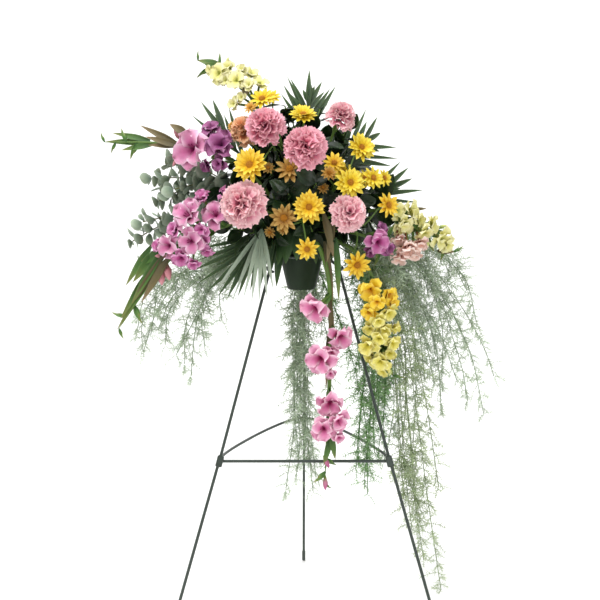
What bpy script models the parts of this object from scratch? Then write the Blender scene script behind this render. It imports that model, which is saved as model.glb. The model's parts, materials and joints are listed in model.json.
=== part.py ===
"""Standing funeral spray: cut flowers in a pot of wet foam, carried by a three-legged wire easel.

Metres, +Z up. The viewer stands at -Y. Every stem starts in a hole of the foam and runs to its bloom.
"""

from math import atan2, cos, pi, radians, sin
from random import Random

import bmesh
import bpy
from mathutils import Quaternion, Vector, geometry

# Easel: a nominal 42 inch florist's wire easel, which stands one metre high on its spread legs
APEX_HEIGHT = 1.000
FRONT_FOOT = Vector((0.268, -0.250, 0.0))
FOOT_FLARE = 0.0067  # how far out the lower wires lean from the line of the upper ones
REAR_FOOT = Vector((0.0, 0.343, 0.0))
BRACE_HEIGHT = 0.384
WIRE_RADIUS = 0.003
TIP_RADIUS = 0.004
TIP_LENGTH = 0.028
CLEARANCE = 0.0003

# Pot and the block of foam that stands proud of it
POT_AXIS = Vector((-0.006, -0.088, 0.0))
POT_FOOT_HEIGHT = 0.712
POT_RIM_HEIGHT = 0.812
POT_FOOT_RADIUS = 0.0275
POT_RIM_RADIUS = 0.050
POT_WALL = 0.0016
RING_HEIGHT = 0.778
HOOK_HEIGHT = 0.748
FOAM_HEART = Vector((-0.006, -0.088, 0.835))
FOAM_RADIUS = 0.0455
HOLE_DEPTH = 0.019

# Stems, by the radius at the cut end
CARNATION_STEM = 0.0023
DAISY_STEM = 0.0018
SPIKE_STEM = 0.0038
FROND_STEM = 0.0020
THIN_STEM = 0.0016

PETAL_THICKNESS = 0.0008
LEAF_THICKNESS = 0.0010

UP = Vector((0, 0, 1))
VIEWER = Vector((0, -1, 0))


def paint(name, colour, roughness, metallic=0.0):
    """One Principled finish."""
    finish = bpy.data.materials.new(name)
    finish.use_nodes = True
    shader = finish.node_tree.nodes["Principled BSDF"]
    shader.inputs["Base Color"].default_value = (*colour, 1.0)
    shader.inputs["Roughness"].default_value = roughness
    shader.inputs["Metallic"].default_value = metallic
    finish.diffuse_color = (*colour, 1.0)
    return finish


def add_object(name, shape, finish, smooth=False):
    """Turn a finished bmesh into a named object."""
    mesh = bpy.data.meshes.new(name)
    shape.to_mesh(mesh)
    shape.free()
    mesh.materials.append(finish)
    if smooth:
        mesh.shade_smooth()
        mesh.set_sharp_from_angle(angle=radians(40))
    item = bpy.data.objects.new(name, mesh)
    bpy.context.scene.collection.objects.link(item)
    return item


def drop_scraps(mesh):
    """Keep only the largest connected body of a mesh."""
    shape = bmesh.new()
    shape.from_mesh(mesh)
    waiting = set(shape.verts)
    bodies = []
    while waiting:
        body = [waiting.pop()]
        for vertex in body:
            for edge in vertex.link_edges:
                other = edge.other_vert(vertex)
                if other in waiting:
                    waiting.remove(other)
                    body.append(other)
        bodies.append(body)
    bodies.sort(key=len)
    for body in bodies[:-1]:
        bmesh.ops.delete(shape, geom=body, context="VERTS")
    shape.to_mesh(mesh)
    shape.free()


def boolean(item, pieces, operation):
    """Apply one Boolean with a collection of pieces, and drop the pieces.

    The manifold solver is used: with a collection, the exact one lost the cuts of these thin wires.
    """
    group = bpy.data.collections.new(item.name + "_pieces")
    bpy.context.scene.collection.children.link(group)
    for piece in pieces:
        bpy.context.scene.collection.objects.unlink(piece)
        group.objects.link(piece)
    modifier = item.modifiers.new(operation.title(), "BOOLEAN")
    modifier.operation = operation
    modifier.operand_type = "COLLECTION"
    modifier.collection = group
    modifier.solver = "MANIFOLD"
    bpy.context.view_layer.update()
    evaluated = item.evaluated_get(bpy.context.evaluated_depsgraph_get())
    result = bpy.data.meshes.new_from_object(evaluated)
    item.modifiers.clear()
    item.data = result
    drop_scraps(result)
    for piece in pieces:
        bpy.data.objects.remove(piece)
    bpy.data.collections.remove(group)
    return item


def smooth_line(points, samples=10):
    """Dense smooth line through points set by hand."""
    points = [Vector(point) for point in points]
    line = []
    for index in range(len(points) - 1):
        start, end = points[index], points[index + 1]
        before = points[index - 1] if index else start * 2 - end
        after = points[index + 2] if index + 2 < len(points) else end * 2 - start
        reach = (end - start).length / 3
        leave = start + (end - before).normalized() * reach
        arrive = end - (after - start).normalized() * reach
        line += geometry.interpolate_bezier(start, leave, arrive, end, samples)[:-1]
    line.append(points[-1])
    return line


def line_length(line):
    return sum((line[index + 1] - line[index]).length for index in range(len(line) - 1))


def along(line, distance):
    """Place and direction at a distance along a dense line."""
    for index in range(len(line) - 1):
        step = line[index + 1] - line[index]
        if distance <= step.length or index == len(line) - 2:
            return line[index] + step * (distance / step.length), step.normalized()
        distance -= step.length
    return line[-1], UP


def nearest(line, point):
    """Distance along the line of its point nearest to the given one."""
    walked, best, found = 0.0, None, 0.0
    for index in range(len(line) - 1):
        gap = (line[index] - point).length
        if best is None or gap < best:
            best, found = gap, walked
        walked += (line[index + 1] - line[index]).length
    return found


def ribbon(lower, upper):
    """Triangles between two rows of vertices, as index steps: side 0 is the lower row."""
    steps = []
    low, high = 0, 0
    while low < len(lower) - 1 or high < len(upper) - 1:
        low_share = (low + 0.5) / max(len(lower) - 1, 0.01)
        high_share = (high + 0.5) / max(len(upper) - 1, 0.01)
        if high == len(upper) - 1 or (low < len(lower) - 1 and low_share <= high_share):
            steps.append((0, low, high))
            low += 1
        else:
            steps.append((1, low, high))
            high += 1
    return steps


def grow(shape, root, rows):
    """Grow a blade out of one open quad of a shape.

    root holds the quad's vertices, counted round from the lower left as seen from outside. Each row is a
    list of points from left to right and half the blade's thickness as a vector, or None for a sharp point.
    """
    lower, upper = [root[0], root[1]], [root[3], root[2]]
    for points, half in rows:
        if half is None:
            tip = shape.verts.new(points[0])
            next_lower, next_upper = [tip], [tip]
        else:
            next_lower = [shape.verts.new(point - half) for point in points]
            next_upper = [shape.verts.new(point + half) for point in points]
        for side, low, high in ribbon(lower, next_lower):
            if side == 0:
                shape.faces.new((lower[low], lower[low + 1], next_lower[high]))
                shape.faces.new((upper[low + 1], upper[low], next_upper[high]))
            else:
                shape.faces.new((lower[low], next_lower[high + 1], next_lower[high]))
                shape.faces.new((upper[low], next_upper[high], next_upper[high + 1]))
        if half is None:
            shape.faces.new((lower[-1], upper[-1], next_lower[0]))
            shape.faces.new((upper[0], lower[0], next_lower[0]))
            return
        shape.faces.new((lower[-1], upper[-1], next_upper[-1]))
        shape.faces.new((lower[-1], next_upper[-1], next_lower[-1]))
        shape.faces.new((upper[0], lower[0], next_lower[0]))
        shape.faces.new((upper[0], next_lower[0], next_upper[0]))
        lower, upper = next_lower, next_upper
    for index in range(len(lower) - 1):
        shape.faces.new((lower[index], lower[index + 1], upper[index + 1]))
        shape.faces.new((lower[index], upper[index + 1], upper[index]))


def blade(origin, out, across, lift, outline, thickness):
    """Rows of a blade. Each entry of the outline is (reach, rise, spread), and a spread lists
    (sideways, further reach, further rise) for each point of the row."""
    rows = []
    before = (0.0, 0.0)
    for index, (reach, rise, spread) in enumerate(outline):
        after = outline[min(index + 1, len(outline) - 1)]
        slope = Vector((after[0] - before[0], after[1] - before[1])).normalized()
        half = (lift * slope.x - out * slope.y) * (thickness / 2)
        points = [origin + out * (reach + more) + across * sideways + lift * (rise + higher)
                  for sideways, more, higher in spread]
        rows.append((points, half))
        before = (reach, rise)
    return rows


def pair(half_width, curl=0.0):
    """A row of two points, both lifted by the curl."""
    return [(-half_width, 0.0, curl), (half_width, 0.0, curl)]


POINT = [(0.0, 0.0, 0.0)]


def rosette(shape, sides, rings, petals):
    """A column of rings up +Z. petals maps a band between two rings to a function that gives the outline
    of the petal grown from side number k of that band."""
    step = 2 * pi / sides
    loops = []
    for height, radius, turn in rings:
        loops.append([shape.verts.new((radius * cos(turn + k * step), radius * sin(turn + k * step), height))
                      for k in range(sides)])
    shape.faces.new(list(reversed(loops[0])))
    shape.faces.new(loops[-1])
    for band in range(len(rings) - 1):
        low, high = loops[band], loops[band + 1]
        turned = rings[band + 1][2] != rings[band][2]
        for k in range(sides):
            following = (k + 1) % sides
            quad = (low[k], low[following], high[following], high[k])
            if turned:
                shape.faces.new((low[k], low[following], high[k]))
                shape.faces.new((low[following], high[following], high[k]))
            elif band in petals:
                angle = rings[band][2] + (k + 0.5) * step
                out = Vector((cos(angle), sin(angle), 0))
                across = Vector((-sin(angle), cos(angle), 0))
                middle = (rings[band][0] + rings[band + 1][0]) / 2
                grow(shape, quad, blade(UP * middle, out, across, UP, petals[band](k), PETAL_THICKNESS))
            else:
                shape.faces.new(quad)


def frames(line, stations, reference, twist=0.0):
    """Place, direction, normal and side at each station of a stalk, without needless turning."""
    found = []
    normal, before = None, None
    for index, distance in enumerate(stations):
        place, direction = along(line, distance)
        if normal is None:
            normal = reference - direction * reference.dot(direction)
        else:
            normal.rotate(before.rotation_difference(direction))
            normal = normal - direction * normal.dot(direction)
            normal.rotate(Quaternion(direction, twist))
        normal.normalize()
        before = direction
        found.append((place, direction, normal.copy(), direction.cross(normal)))
    return found


def stalk(shape, posts, radii, sides, shoots=None):
    """Skin a stalk over its frames. shoots maps (band, side) to a function of the quad's centre, its
    outward direction and the stalk's direction, which gives the blade's rows and if it is turned edge on."""
    shoots = shoots or {}
    step = 2 * pi / sides
    loops = []
    for (place, _, normal, side), radius in zip(posts, radii):
        loops.append([shape.verts.new(place + (normal * cos(k * step) + side * sin(k * step)) * radius)
                      for k in range(sides)])
    shape.faces.new(list(reversed(loops[0])))
    shape.faces.new(loops[-1])
    for band in range(len(loops) - 1):
        low, high = loops[band], loops[band + 1]
        for k in range(sides):
            following = (k + 1) % sides
            quad = [low[k], low[following], high[following], high[k]]
            if (band, k) not in shoots:
                shape.faces.new(quad)
                continue
            centre = sum((vertex.co for vertex in quad), Vector()) / 4
            direction = posts[band][1]
            out = (centre - (posts[band][0] + posts[band + 1][0]) / 2).normalized()
            rows, turned = shoots[(band, k)](centre, out, direction)
            grow(shape, [quad[3]] + quad[:3] if turned else quad, rows)
    return loops


def side_towards(post, direction, sides):
    """Number of the stalk's side that looks most nearly the given way."""
    _, _, normal, side = post
    angle = atan2(direction.dot(side), direction.dot(normal))
    return round(angle / (2 * pi / sides) - 0.5) % sides


def leaning(centre, out, direction, target, outline, thickness, turned):
    """Rows of a blade that leaves the stalk towards a target, and if it stands edge on to the stalk."""
    heading = (target - centre).normalized()
    tangential = direction.cross(out)
    if turned:
        across = tangential.cross(heading).normalized()
        lift = heading.cross(across)
    else:
        lift = heading.cross(tangential).normalized()
        across = lift.cross(heading)
    return blade(centre, heading, across, lift, outline, thickness), turned


HOLES = []


def planted(heading, radius):
    """Note a hole for the foam, and give the first points of the stem that comes straight out of it."""
    heading = Vector(heading).normalized()
    HOLES.append((heading, radius))
    return [FOAM_HEART + heading * reach for reach in (FOAM_RADIUS - HOLE_DEPTH, 0.046, 0.058)]


def cupped_stem(name, route, radius, finish, cup, sides=6):
    """A bare stem along a route, which swells into a cup under its bloom."""
    line = smooth_line(route)
    total = line_length(line)
    length, width = cup
    stations = [0.0, 0.032, (0.032 + total - length) / 2, total - length, total - length * 0.75, total]
    radii = [radius, radius, radius, radius * 1.2, width * 0.9, width]
    shape = bmesh.new()
    stalk(shape, frames(line, stations, VIEWER), radii, sides)
    return add_object(name, shape, finish, smooth=True)


def wire_curve(name, points, radius, finish, rounding=2):
    """A straight or bent wire, as a bevelled curve with filled caps."""
    curve = bpy.data.curves.new(name, "CURVE")
    curve.dimensions = "3D"
    curve.bevel_depth = radius
    curve.bevel_resolution = rounding
    curve.use_fill_caps = True
    spline = curve.splines.new("POLY")
    spline.points.add(len(points) - 1)
    for target, point in zip(spline.points, points):
        target.co = (*point, 1)
    curve.materials.append(finish)
    item = bpy.data.objects.new(name, curve)
    bpy.context.scene.collection.objects.link(item)
    return item


def wire_bore(points, radius, sides=8):
    """A cutter a little larger than the wire or stem that goes through it."""
    start, end = points
    heading = (end - start).normalized()
    shape = bmesh.new()
    posts = frames([start, end], [0.0, (end - start).length], heading.orthogonal())
    stalk(shape, posts, [radius, radius], sides)
    item = add_object("bore", shape, METAL)
    item.hide_render = True
    item.display_type = "WIRE"
    return item


def block(name, centre, axes, sizes, bevel, finish):
    """A bevelled block on its own three axes."""
    shape = bmesh.new()
    bmesh.ops.create_cube(shape, size=1.0)
    for vertex in shape.verts:
        local = vertex.co.copy()
        vertex.co = centre + sum((axis * (amount * size) for axis, amount, size
                                  in zip(axes, local, sizes)), Vector())
    shape.normal_update()
    if bevel:
        bmesh.ops.bevel(shape, geom=shape.edges[:], offset=bevel, segments=1, affect="EDGES")
    return add_object(name, shape, finish)


def turned(name, profile, segments, centre, finish):
    """A solid of revolution from its outline, which starts and ends on the axis."""
    shape = bmesh.new()
    rows = []
    for radius, height in profile:
        if radius == 0:
            rows.append([shape.verts.new(centre + UP * height)])
        else:
            rows.append([shape.verts.new(centre + Vector((radius * cos(2 * pi * k / segments),
                                                          radius * sin(2 * pi * k / segments), height)))
                         for k in range(segments)])
    for low, high in zip(rows, rows[1:]):
        for k in range(segments):
            following = (k + 1) % segments
            ring = [low[k % len(low)], low[following % len(low)],
                    high[following % len(high)], high[k % len(high)]]
            shape.faces.new(list(dict.fromkeys(ring)))
    return add_object(name, shape, finish, smooth=True)


for leftover in list(bpy.data.objects):
    bpy.data.objects.remove(leftover)

METAL = paint("easel_wire", (0.045, 0.06, 0.05), 0.45, 0.6)
POT_PLASTIC = paint("pot_plastic", (0.02, 0.07, 0.04), 0.4)
FOAM = paint("wet_foam", (0.03, 0.12, 0.06), 0.9)
STEM_GREEN = paint("stem_green", (0.16, 0.26, 0.10), 0.55)
CARNATION_PINK = paint("carnation_petal", (0.72, 0.25, 0.38), 0.7)
DAISY_YELLOW = paint("daisy_petal", (0.86, 0.58, 0.03), 0.6)
ORCHID_PINK = paint("gladiolus_orchid", (0.56, 0.19, 0.44), 0.6)
ROSE_PINK = paint("gladiolus_rose", (0.76, 0.25, 0.44), 0.6)
CREAM = paint("gladiolus_cream", (0.82, 0.78, 0.34), 0.6)
LEMON = paint("gladiolus_yellow", (0.90, 0.68, 0.05), 0.6)
PALM_GREEN = paint("palm_leaf", (0.03, 0.09, 0.03), 0.5)
GREY_GREEN = paint("eucalyptus_leaf", (0.16, 0.24, 0.19), 0.6)
FERN_GREEN = paint("asparagus_needle", (0.27, 0.37, 0.25), 0.6)
DARK_LEAF = paint("salal_leaf", (0.03, 0.10, 0.03), 0.4)


# Easel
apex = Vector((0, 0, APEX_HEIGHT))
wires = {}


def leg_parts(hand):
    """A front leg's foot and heading, the joint of its two wires, its outward and forward directions, and
    the ends of the upper wire, which laps behind the lower one in the clip."""
    foot = Vector((hand * FRONT_FOOT.x, FRONT_FOOT.y, 0))
    heading = (foot - apex).normalized()
    joint = apex + heading * ((APEX_HEIGHT - BRACE_HEIGHT) / -heading.z)
    sideways = Vector((hand, 0, 0))
    sideways = (sideways - heading * sideways.dot(heading)).normalized()
    forward = heading.cross(sideways) * hand
    upper_start = apex + heading * CAP_SEAT + sideways * 0.001
    upper_end = joint - forward * HALF_LAP + heading * LAP
    return foot, heading, joint, sideways, forward, upper_start, upper_end


def footed_wire(name, top, foot, radius):
    """A leg wire with a dipped tip, cut level where it stands on the floor."""
    heading = (foot - top).normalized()
    length = (foot - top).length
    shape = bmesh.new()
    stations = [0.0, length - TIP_LENGTH - 0.002, length - TIP_LENGTH, length - 0.004]
    loops = stalk(shape, frames([top, foot], stations, VIEWER), [radius, radius, TIP_RADIUS, TIP_RADIUS], 8)
    for vertex in loops[-1]:
        vertex.co += heading * (vertex.co.z / -heading.z)
    return add_object(name, shape, METAL, smooth=True)


LAP = 0.012
HALF_LAP = WIRE_RADIUS + CLEARANCE / 2
CLIP_LENGTH = 0.022
CLIP_WIDTH = 0.0124
CLIP_DEPTH = 0.0184
SLOT_WIDTH = 2 * WIRE_RADIUS + 0.0014
SLOT_DEPTH = 4 * WIRE_RADIUS + 0.0012
THIN_WALL = 0.0016
BRACE_SEAT = 0.0014
APEX_CAP_RADIUS = 0.013
CAP_SEAT = 0.010

bores_of_cap = []
bow_ends = {}
for hand, label in ((-1, "left"), (1, "right")):
    foot, heading, joint, sideways, forward, upper_start, upper_end = leg_parts(hand)
    upper = (upper_end - upper_start).normalized()
    wire_curve("leg_upper_" + label, [upper_start, upper_end], WIRE_RADIUS, METAL)
    footed_wire("leg_lower_" + label, joint + forward * HALF_LAP - heading * LAP,
                foot + Vector((hand * FOOT_FLARE, 0, 0)), WIRE_RADIUS)
    bores_of_cap.append((upper_start - upper * CLEARANCE, upper_start + upper * 0.05))

    # Sleeve that holds both wires. The crossbar ends in its inner wall and the bow in its rear wall.
    inward, backward = -sideways, -forward
    clip_centre = (joint + inward * (CLIP_WIDTH / 2 - SLOT_WIDTH / 2 - THIN_WALL)
                   + backward * (CLIP_DEPTH / 2 - SLOT_DEPTH / 2 - THIN_WALL))
    axes = (sideways, heading.cross(sideways), heading)
    clip = block("leg_clip_" + label, clip_centre, axes, (CLIP_WIDTH, CLIP_DEPTH, CLIP_LENGTH), 0.0016, METAL)
    bar_end = joint - Vector((hand * (SLOT_WIDTH / 2 + BRACE_SEAT), 0, 0))
    bow_end = joint + Vector((0, SLOT_DEPTH / 2 + BRACE_SEAT, 0))
    bow_end.z = BRACE_HEIGHT
    wires[label], bow_ends[label] = bar_end, bow_end
    cutters = [block("slot", joint, axes, (SLOT_WIDTH, SLOT_DEPTH, 2 * CLIP_LENGTH), 0.0, METAL),
               wire_bore((bar_end + Vector((hand * CLEARANCE, 0, 0)), bar_end - Vector((hand * 0.05, 0, 0))),
                         WIRE_RADIUS + 0.0004),
               wire_bore((bow_end - Vector((0, CLEARANCE, 0)), bow_end + Vector((0, 0.05, 0))),
                         WIRE_RADIUS + 0.0004)]
    boolean(clip, cutters, "DIFFERENCE")

wire_curve("crossbar", [wires["left"], wires["right"]], WIRE_RADIUS, METAL)

# Bow: one wire bent back from both clips round the rear leg, which it meets on its inner side
rear_heading = (REAR_FOOT - apex).normalized()
rear_at_brace = apex + rear_heading * ((APEX_HEIGHT - BRACE_HEIGHT) / -rear_heading.z)
bow_half = [(0.0, rear_at_brace.y - 2 * WIRE_RADIUS / cos(radians(19)) - CLEARANCE),
            (0.022, 0.192), (0.053, 0.148), (0.094, 0.067), (0.132, -0.024), (0.155, -0.090)]
bow_points = [bow_ends["left"], bow_ends["left"] + Vector((0, 0.009, 0))]
bow_points += [Vector((-x, y, BRACE_HEIGHT)) for x, y in reversed(bow_half)]
bow_points += [Vector((x, y, BRACE_HEIGHT)) for x, y in bow_half[1:]]
bow_points += [bow_ends["right"] + Vector((0, 0.009, 0)), bow_ends["right"]]
bow_line = smooth_line(bow_points, 2)
wire_curve("brace_bow", bow_line, WIRE_RADIUS, METAL, 1)

# Rear leg, and the cap at the apex with a blind bore for each leg
rear_top = apex + rear_heading * CAP_SEAT + Vector((0, 0.001, 0))
footed_wire("leg_rear", rear_top, REAR_FOOT, WIRE_RADIUS)
rear = (REAR_FOOT - rear_top).normalized()
bores_of_cap.append((rear_top - rear * CLEARANCE, rear_top + rear * 0.05))
cap_profile = [(0, -0.013), (APEX_CAP_RADIUS, -0.013), (APEX_CAP_RADIUS, 0.009), (0.010, 0.013), (0, 0.013)]
cap = turned("apex_cap", cap_profile, 12, apex, METAL)
boolean(cap, [wire_bore(ends, WIRE_RADIUS + 0.0004) for ends in bores_of_cap], "DIFFERENCE")


# Pot, the ring that carries it, and the ring's arms to the front legs
pot_slope = (POT_RIM_RADIUS - POT_FOOT_RADIUS) / (POT_RIM_HEIGHT - POT_FOOT_HEIGHT)


def pot_radius(height):
    return POT_FOOT_RADIUS + (height - POT_FOOT_HEIGHT) * pot_slope


def pot_outline():
    """Outer wall, rolled rim and inner wall, from the middle of the base and back to it."""
    inside = POT_FOOT_HEIGHT + POT_WALL
    return [(0, POT_FOOT_HEIGHT), (POT_FOOT_RADIUS, POT_FOOT_HEIGHT),
            (pot_radius(POT_RIM_HEIGHT - 0.004), POT_RIM_HEIGHT - 0.004),
            (POT_RIM_RADIUS + 0.002, POT_RIM_HEIGHT - 0.004), (POT_RIM_RADIUS + 0.002, POT_RIM_HEIGHT),
            (POT_RIM_RADIUS - POT_WALL, POT_RIM_HEIGHT), (POT_FOOT_RADIUS - POT_WALL, inside), (0, inside)]


turned("pot", pot_outline(), 16, POT_AXIS, POT_PLASTIC)


def ring_and_arms():
    """A ring of wire round the pot's cone, with an arm that hooks round each front leg."""
    radius = pot_radius(RING_HEIGHT) + WIRE_RADIUS / cos(atan2(pot_slope, 1)) + CLEARANCE * 2
    sides, count = 5, 18
    shape = bmesh.new()
    loops = []
    for index in range(count):
        angle = 2 * pi * index / count
        out = Vector((cos(angle), sin(angle), 0))
        centre = POT_AXIS + UP * RING_HEIGHT + out * radius
        loops.append([shape.verts.new(centre + (out * cos(k * 2 * pi / sides) + UP * sin(k * 2 * pi / sides))
                                      * WIRE_RADIUS) for k in range(sides)])
    for index in range(count):
        low, high = loops[index], loops[(index + 1) % count]
        for k in range(sides):
            following = (k + 1) % sides
            shape.faces.new((low[k], high[k], high[following], low[following]))
    ring = add_object("pot_ring", shape, METAL, smooth=True)
    arms = []
    for hand in (-1, 1):
        *_, upper_start, upper_end = leg_parts(hand)
        heading = (upper_end - upper_start).normalized()
        hook = upper_start + heading * ((upper_start.z - HOOK_HEIGHT) / -heading.z)
        away = Vector((hand, 0, 0))
        away = (away - heading * away.dot(heading)).normalized()
        across = heading.cross(away) * hand
        bend = 2 * WIRE_RADIUS + CLEARANCE * 3.5
        turns = [hook + (away * cos(turn) - across * sin(turn)) * bend + heading * (0.0042 * turn / pi)
                 for turn in [radians(degrees) for degrees in (-70, -30, 10, 50, 90, 130, 170)]]
        start = POT_AXIS + UP * RING_HEIGHT + Vector((hand * radius * 0.94, radius * 0.34, 0))
        line = smooth_line([start, start + Vector((hand * 0.006, 0.002, -0.006))] + turns, 3)
        total = line_length(line)
        count = 10
        stations = [total * index / count for index in range(count + 1)]
        arm = bmesh.new()
        stalk(arm, frames(line, stations, UP), [WIRE_RADIUS * 0.98] * (count + 1), sides)
        arms.append(add_object("arm", arm, METAL))
    return boolean(ring, arms, "UNION")


ring_and_arms()


# Carnations: ruffled, saw-edged petals in four layers on a swollen green cup
CARNATION_SIDES = 6
CARNATION_CUP = (0.026, 0.0062)
CARNATION_LAYERS = [(1.00, 0.03), (0.94, 0.40), (0.64, 0.70), (0.31, 0.84)]


def carnation_petal(radius, layer, dice):
    reach, rise = CARNATION_LAYERS[layer]

    def outline(_):
        spread = []
        length = reach * radius * dice.uniform(0.94, 1.04)
        half_angle = pi / CARNATION_SIDES * 0.92
        for index in range(4):
            angle = (2 * index / 3 - 1) * half_angle
            tooth = (0.03 if index % 2 else -0.06) * radius
            wave = (0.07 if index % 2 else -0.05) * radius * dice.uniform(0.6, 1.2)
            edge = length + tooth
            spread.append((edge * sin(angle), edge * cos(angle) - length, wave))
        return [(length, rise * radius, spread)]
    return outline


def set_bloom(item, seat, tilt, spin=0.0):
    """Seat a bloom that was made up +Z so that it looks the given way."""
    item.rotation_mode = "QUATERNION"
    item.rotation_quaternion = tilt.to_track_quat("Z", "Y") @ Quaternion((0, 0, 1), spin)
    item.location = seat
    return item


def carnation(name, place, diameter, tilt, heading, seed):
    """Head and stem. The place is the middle of the bloom as it is seen."""
    dice = Random(seed)
    tilt = Vector(tilt).normalized()
    radius = diameter / 2
    half_step = pi / CARNATION_SIDES
    cup_radius = CARNATION_CUP[1]
    rings, petals = [], {}
    for layer, (height, width) in enumerate([(0.0, 1.0), (0.0045, 0.94), (0.0090, 0.80), (0.0132, 0.62)]):
        petals[2 * layer] = carnation_petal(radius, layer, dice)
        rings.append((height, cup_radius * width, layer * half_step))
        rings.append((height + 0.0013, cup_radius * width, layer * half_step))
    shape = bmesh.new()
    rosette(shape, CARNATION_SIDES, rings, petals)
    seat = Vector(place) - tilt * (0.35 * radius)
    set_bloom(add_object(name + "_head", shape, CARNATION_PINK), seat, tilt, dice.uniform(0, 1))
    top = seat - tilt * CLEARANCE
    route = planted(heading, CARNATION_STEM) + [top - tilt * 0.030, top]
    cupped_stem(name + "_stem", route, CARNATION_STEM, STEM_GREEN, CARNATION_CUP)


# Daisies: pointed petals in one or two layers round a low dome, several heads on a branched stem
def daisy(name, place, diameter, tilt, layers, seed):
    """A head, and the seat of its stem."""
    dice = Random(seed)
    tilt = Vector(tilt).normalized()
    radius = diameter / 2
    sides = 8
    disc = 0.19 * radius
    half_step = pi / sides

    def petal(reach, rise, droop, width):
        def outline(_):
            length = reach * radius * dice.uniform(0.93, 1.03)
            lift = dice.uniform(-0.03, 0.03) * radius
            return [(length * 0.55, rise * radius, pair(width * radius)),
                    (length, (rise + droop) * radius + lift, POINT)]
        return outline

    petals = {0: petal(1.0, 0.06, -0.04, 0.16)}
    rings = [(0.0, disc * 0.9, 0.0), (0.0011, disc, 0.0)]
    if layers == 2:
        petals[2] = petal(0.80, 0.16, 0.10, 0.13)
        rings += [(0.0024, disc, half_step), (0.0035, disc, half_step)]
    top = rings[-1][0]
    turn = rings[-1][2]
    rings += [(top + 0.0016, disc * 0.62, turn + half_step)]
    shape = bmesh.new()
    rosette(shape, sides, rings, petals)
    seat = Vector(place) - tilt * 0.002
    set_bloom(add_object(name, shape, DAISY_YELLOW), seat, tilt, dice.uniform(0, 1))
    return seat - tilt * CLEARANCE, tilt, disc


def daisy_spray(name, heading, fork, heads):
    """A branched stem: one shoot from the foam to the fork, and a branch to each head's green cup."""
    fork = Vector(fork)
    trunk_route = planted(heading, DAISY_STEM) + [fork]
    trunk_line = smooth_line(trunk_route)
    total = line_length(trunk_line)
    stations = [0.0, 0.035, total]
    shape = bmesh.new()
    stalk(shape, frames(trunk_line, stations, VIEWER), [DAISY_STEM] * 3, 6)
    trunk = add_object(name, shape, STEM_GREEN)
    onward = (trunk_line[-1] - trunk_line[-2]).normalized()
    branches = []
    for number, (seat, tilt, disc) in enumerate(heads):
        start = fork - onward * (0.005 + 0.004 * number)
        reach = (seat - start).length
        line = smooth_line([start, start + onward * reach * 0.25 + (seat - start) * 0.15,
                            seat - tilt * reach * 0.25, seat - tilt * 0.006, seat])
        total = line_length(line)
        stations = [0.0, total * 0.5, total - 0.006, total]
        radii = [DAISY_STEM * 0.9] * 3 + [disc * 0.85]
        branch = bmesh.new()
        stalk(branch, frames(line, stations, VIEWER), radii, 4)
        branches.append(add_object("branch", branch, STEM_GREEN))
    boolean(trunk, branches, "UNION")


# Gladioli: a stout stem with florets, sheaths and buds that dwindle to the tip
def floret(radius, tube, ruffled, dice):
    """A funnel of six tepals on a three-sided tube that starts in the stem, as a loose shape up +Z."""
    neck = 0.13 * radius
    rings = [(0.0, 0.0024, 0.0), (tube, neck, 0.0), (tube + 0.0011, neck, 0.0),
             (tube + 0.0035, neck * 0.94, pi / 3), (tube + 0.0046, neck * 0.94, pi / 3)]

    def tepal(reach, rise, width, ruffled):
        def outline(_):
            length = reach * radius * dice.uniform(0.92, 1.04)
            bend = dice.uniform(-0.04, 0.04) * radius
            rows = [(length * 0.48, rise * radius * 0.75, pair(width * radius))]
            if ruffled:
                edge = [(-0.66 * width * radius, -0.05 * radius, 0.06 * radius), (0.0, 0.0, -0.03 * radius),
                        (0.66 * width * radius, -0.05 * radius, 0.06 * radius)]
                rows.append((length * 0.97, rise * radius + bend, edge))
            else:
                rows.append((length, rise * radius + bend, POINT))
            return rows
        return outline

    shape = bmesh.new()
    rosette(shape, 3, rings, {1: tepal(0.97, 0.34, 0.42, ruffled), 3: tepal(0.84, 0.62, 0.33, False)})
    return shape


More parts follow.
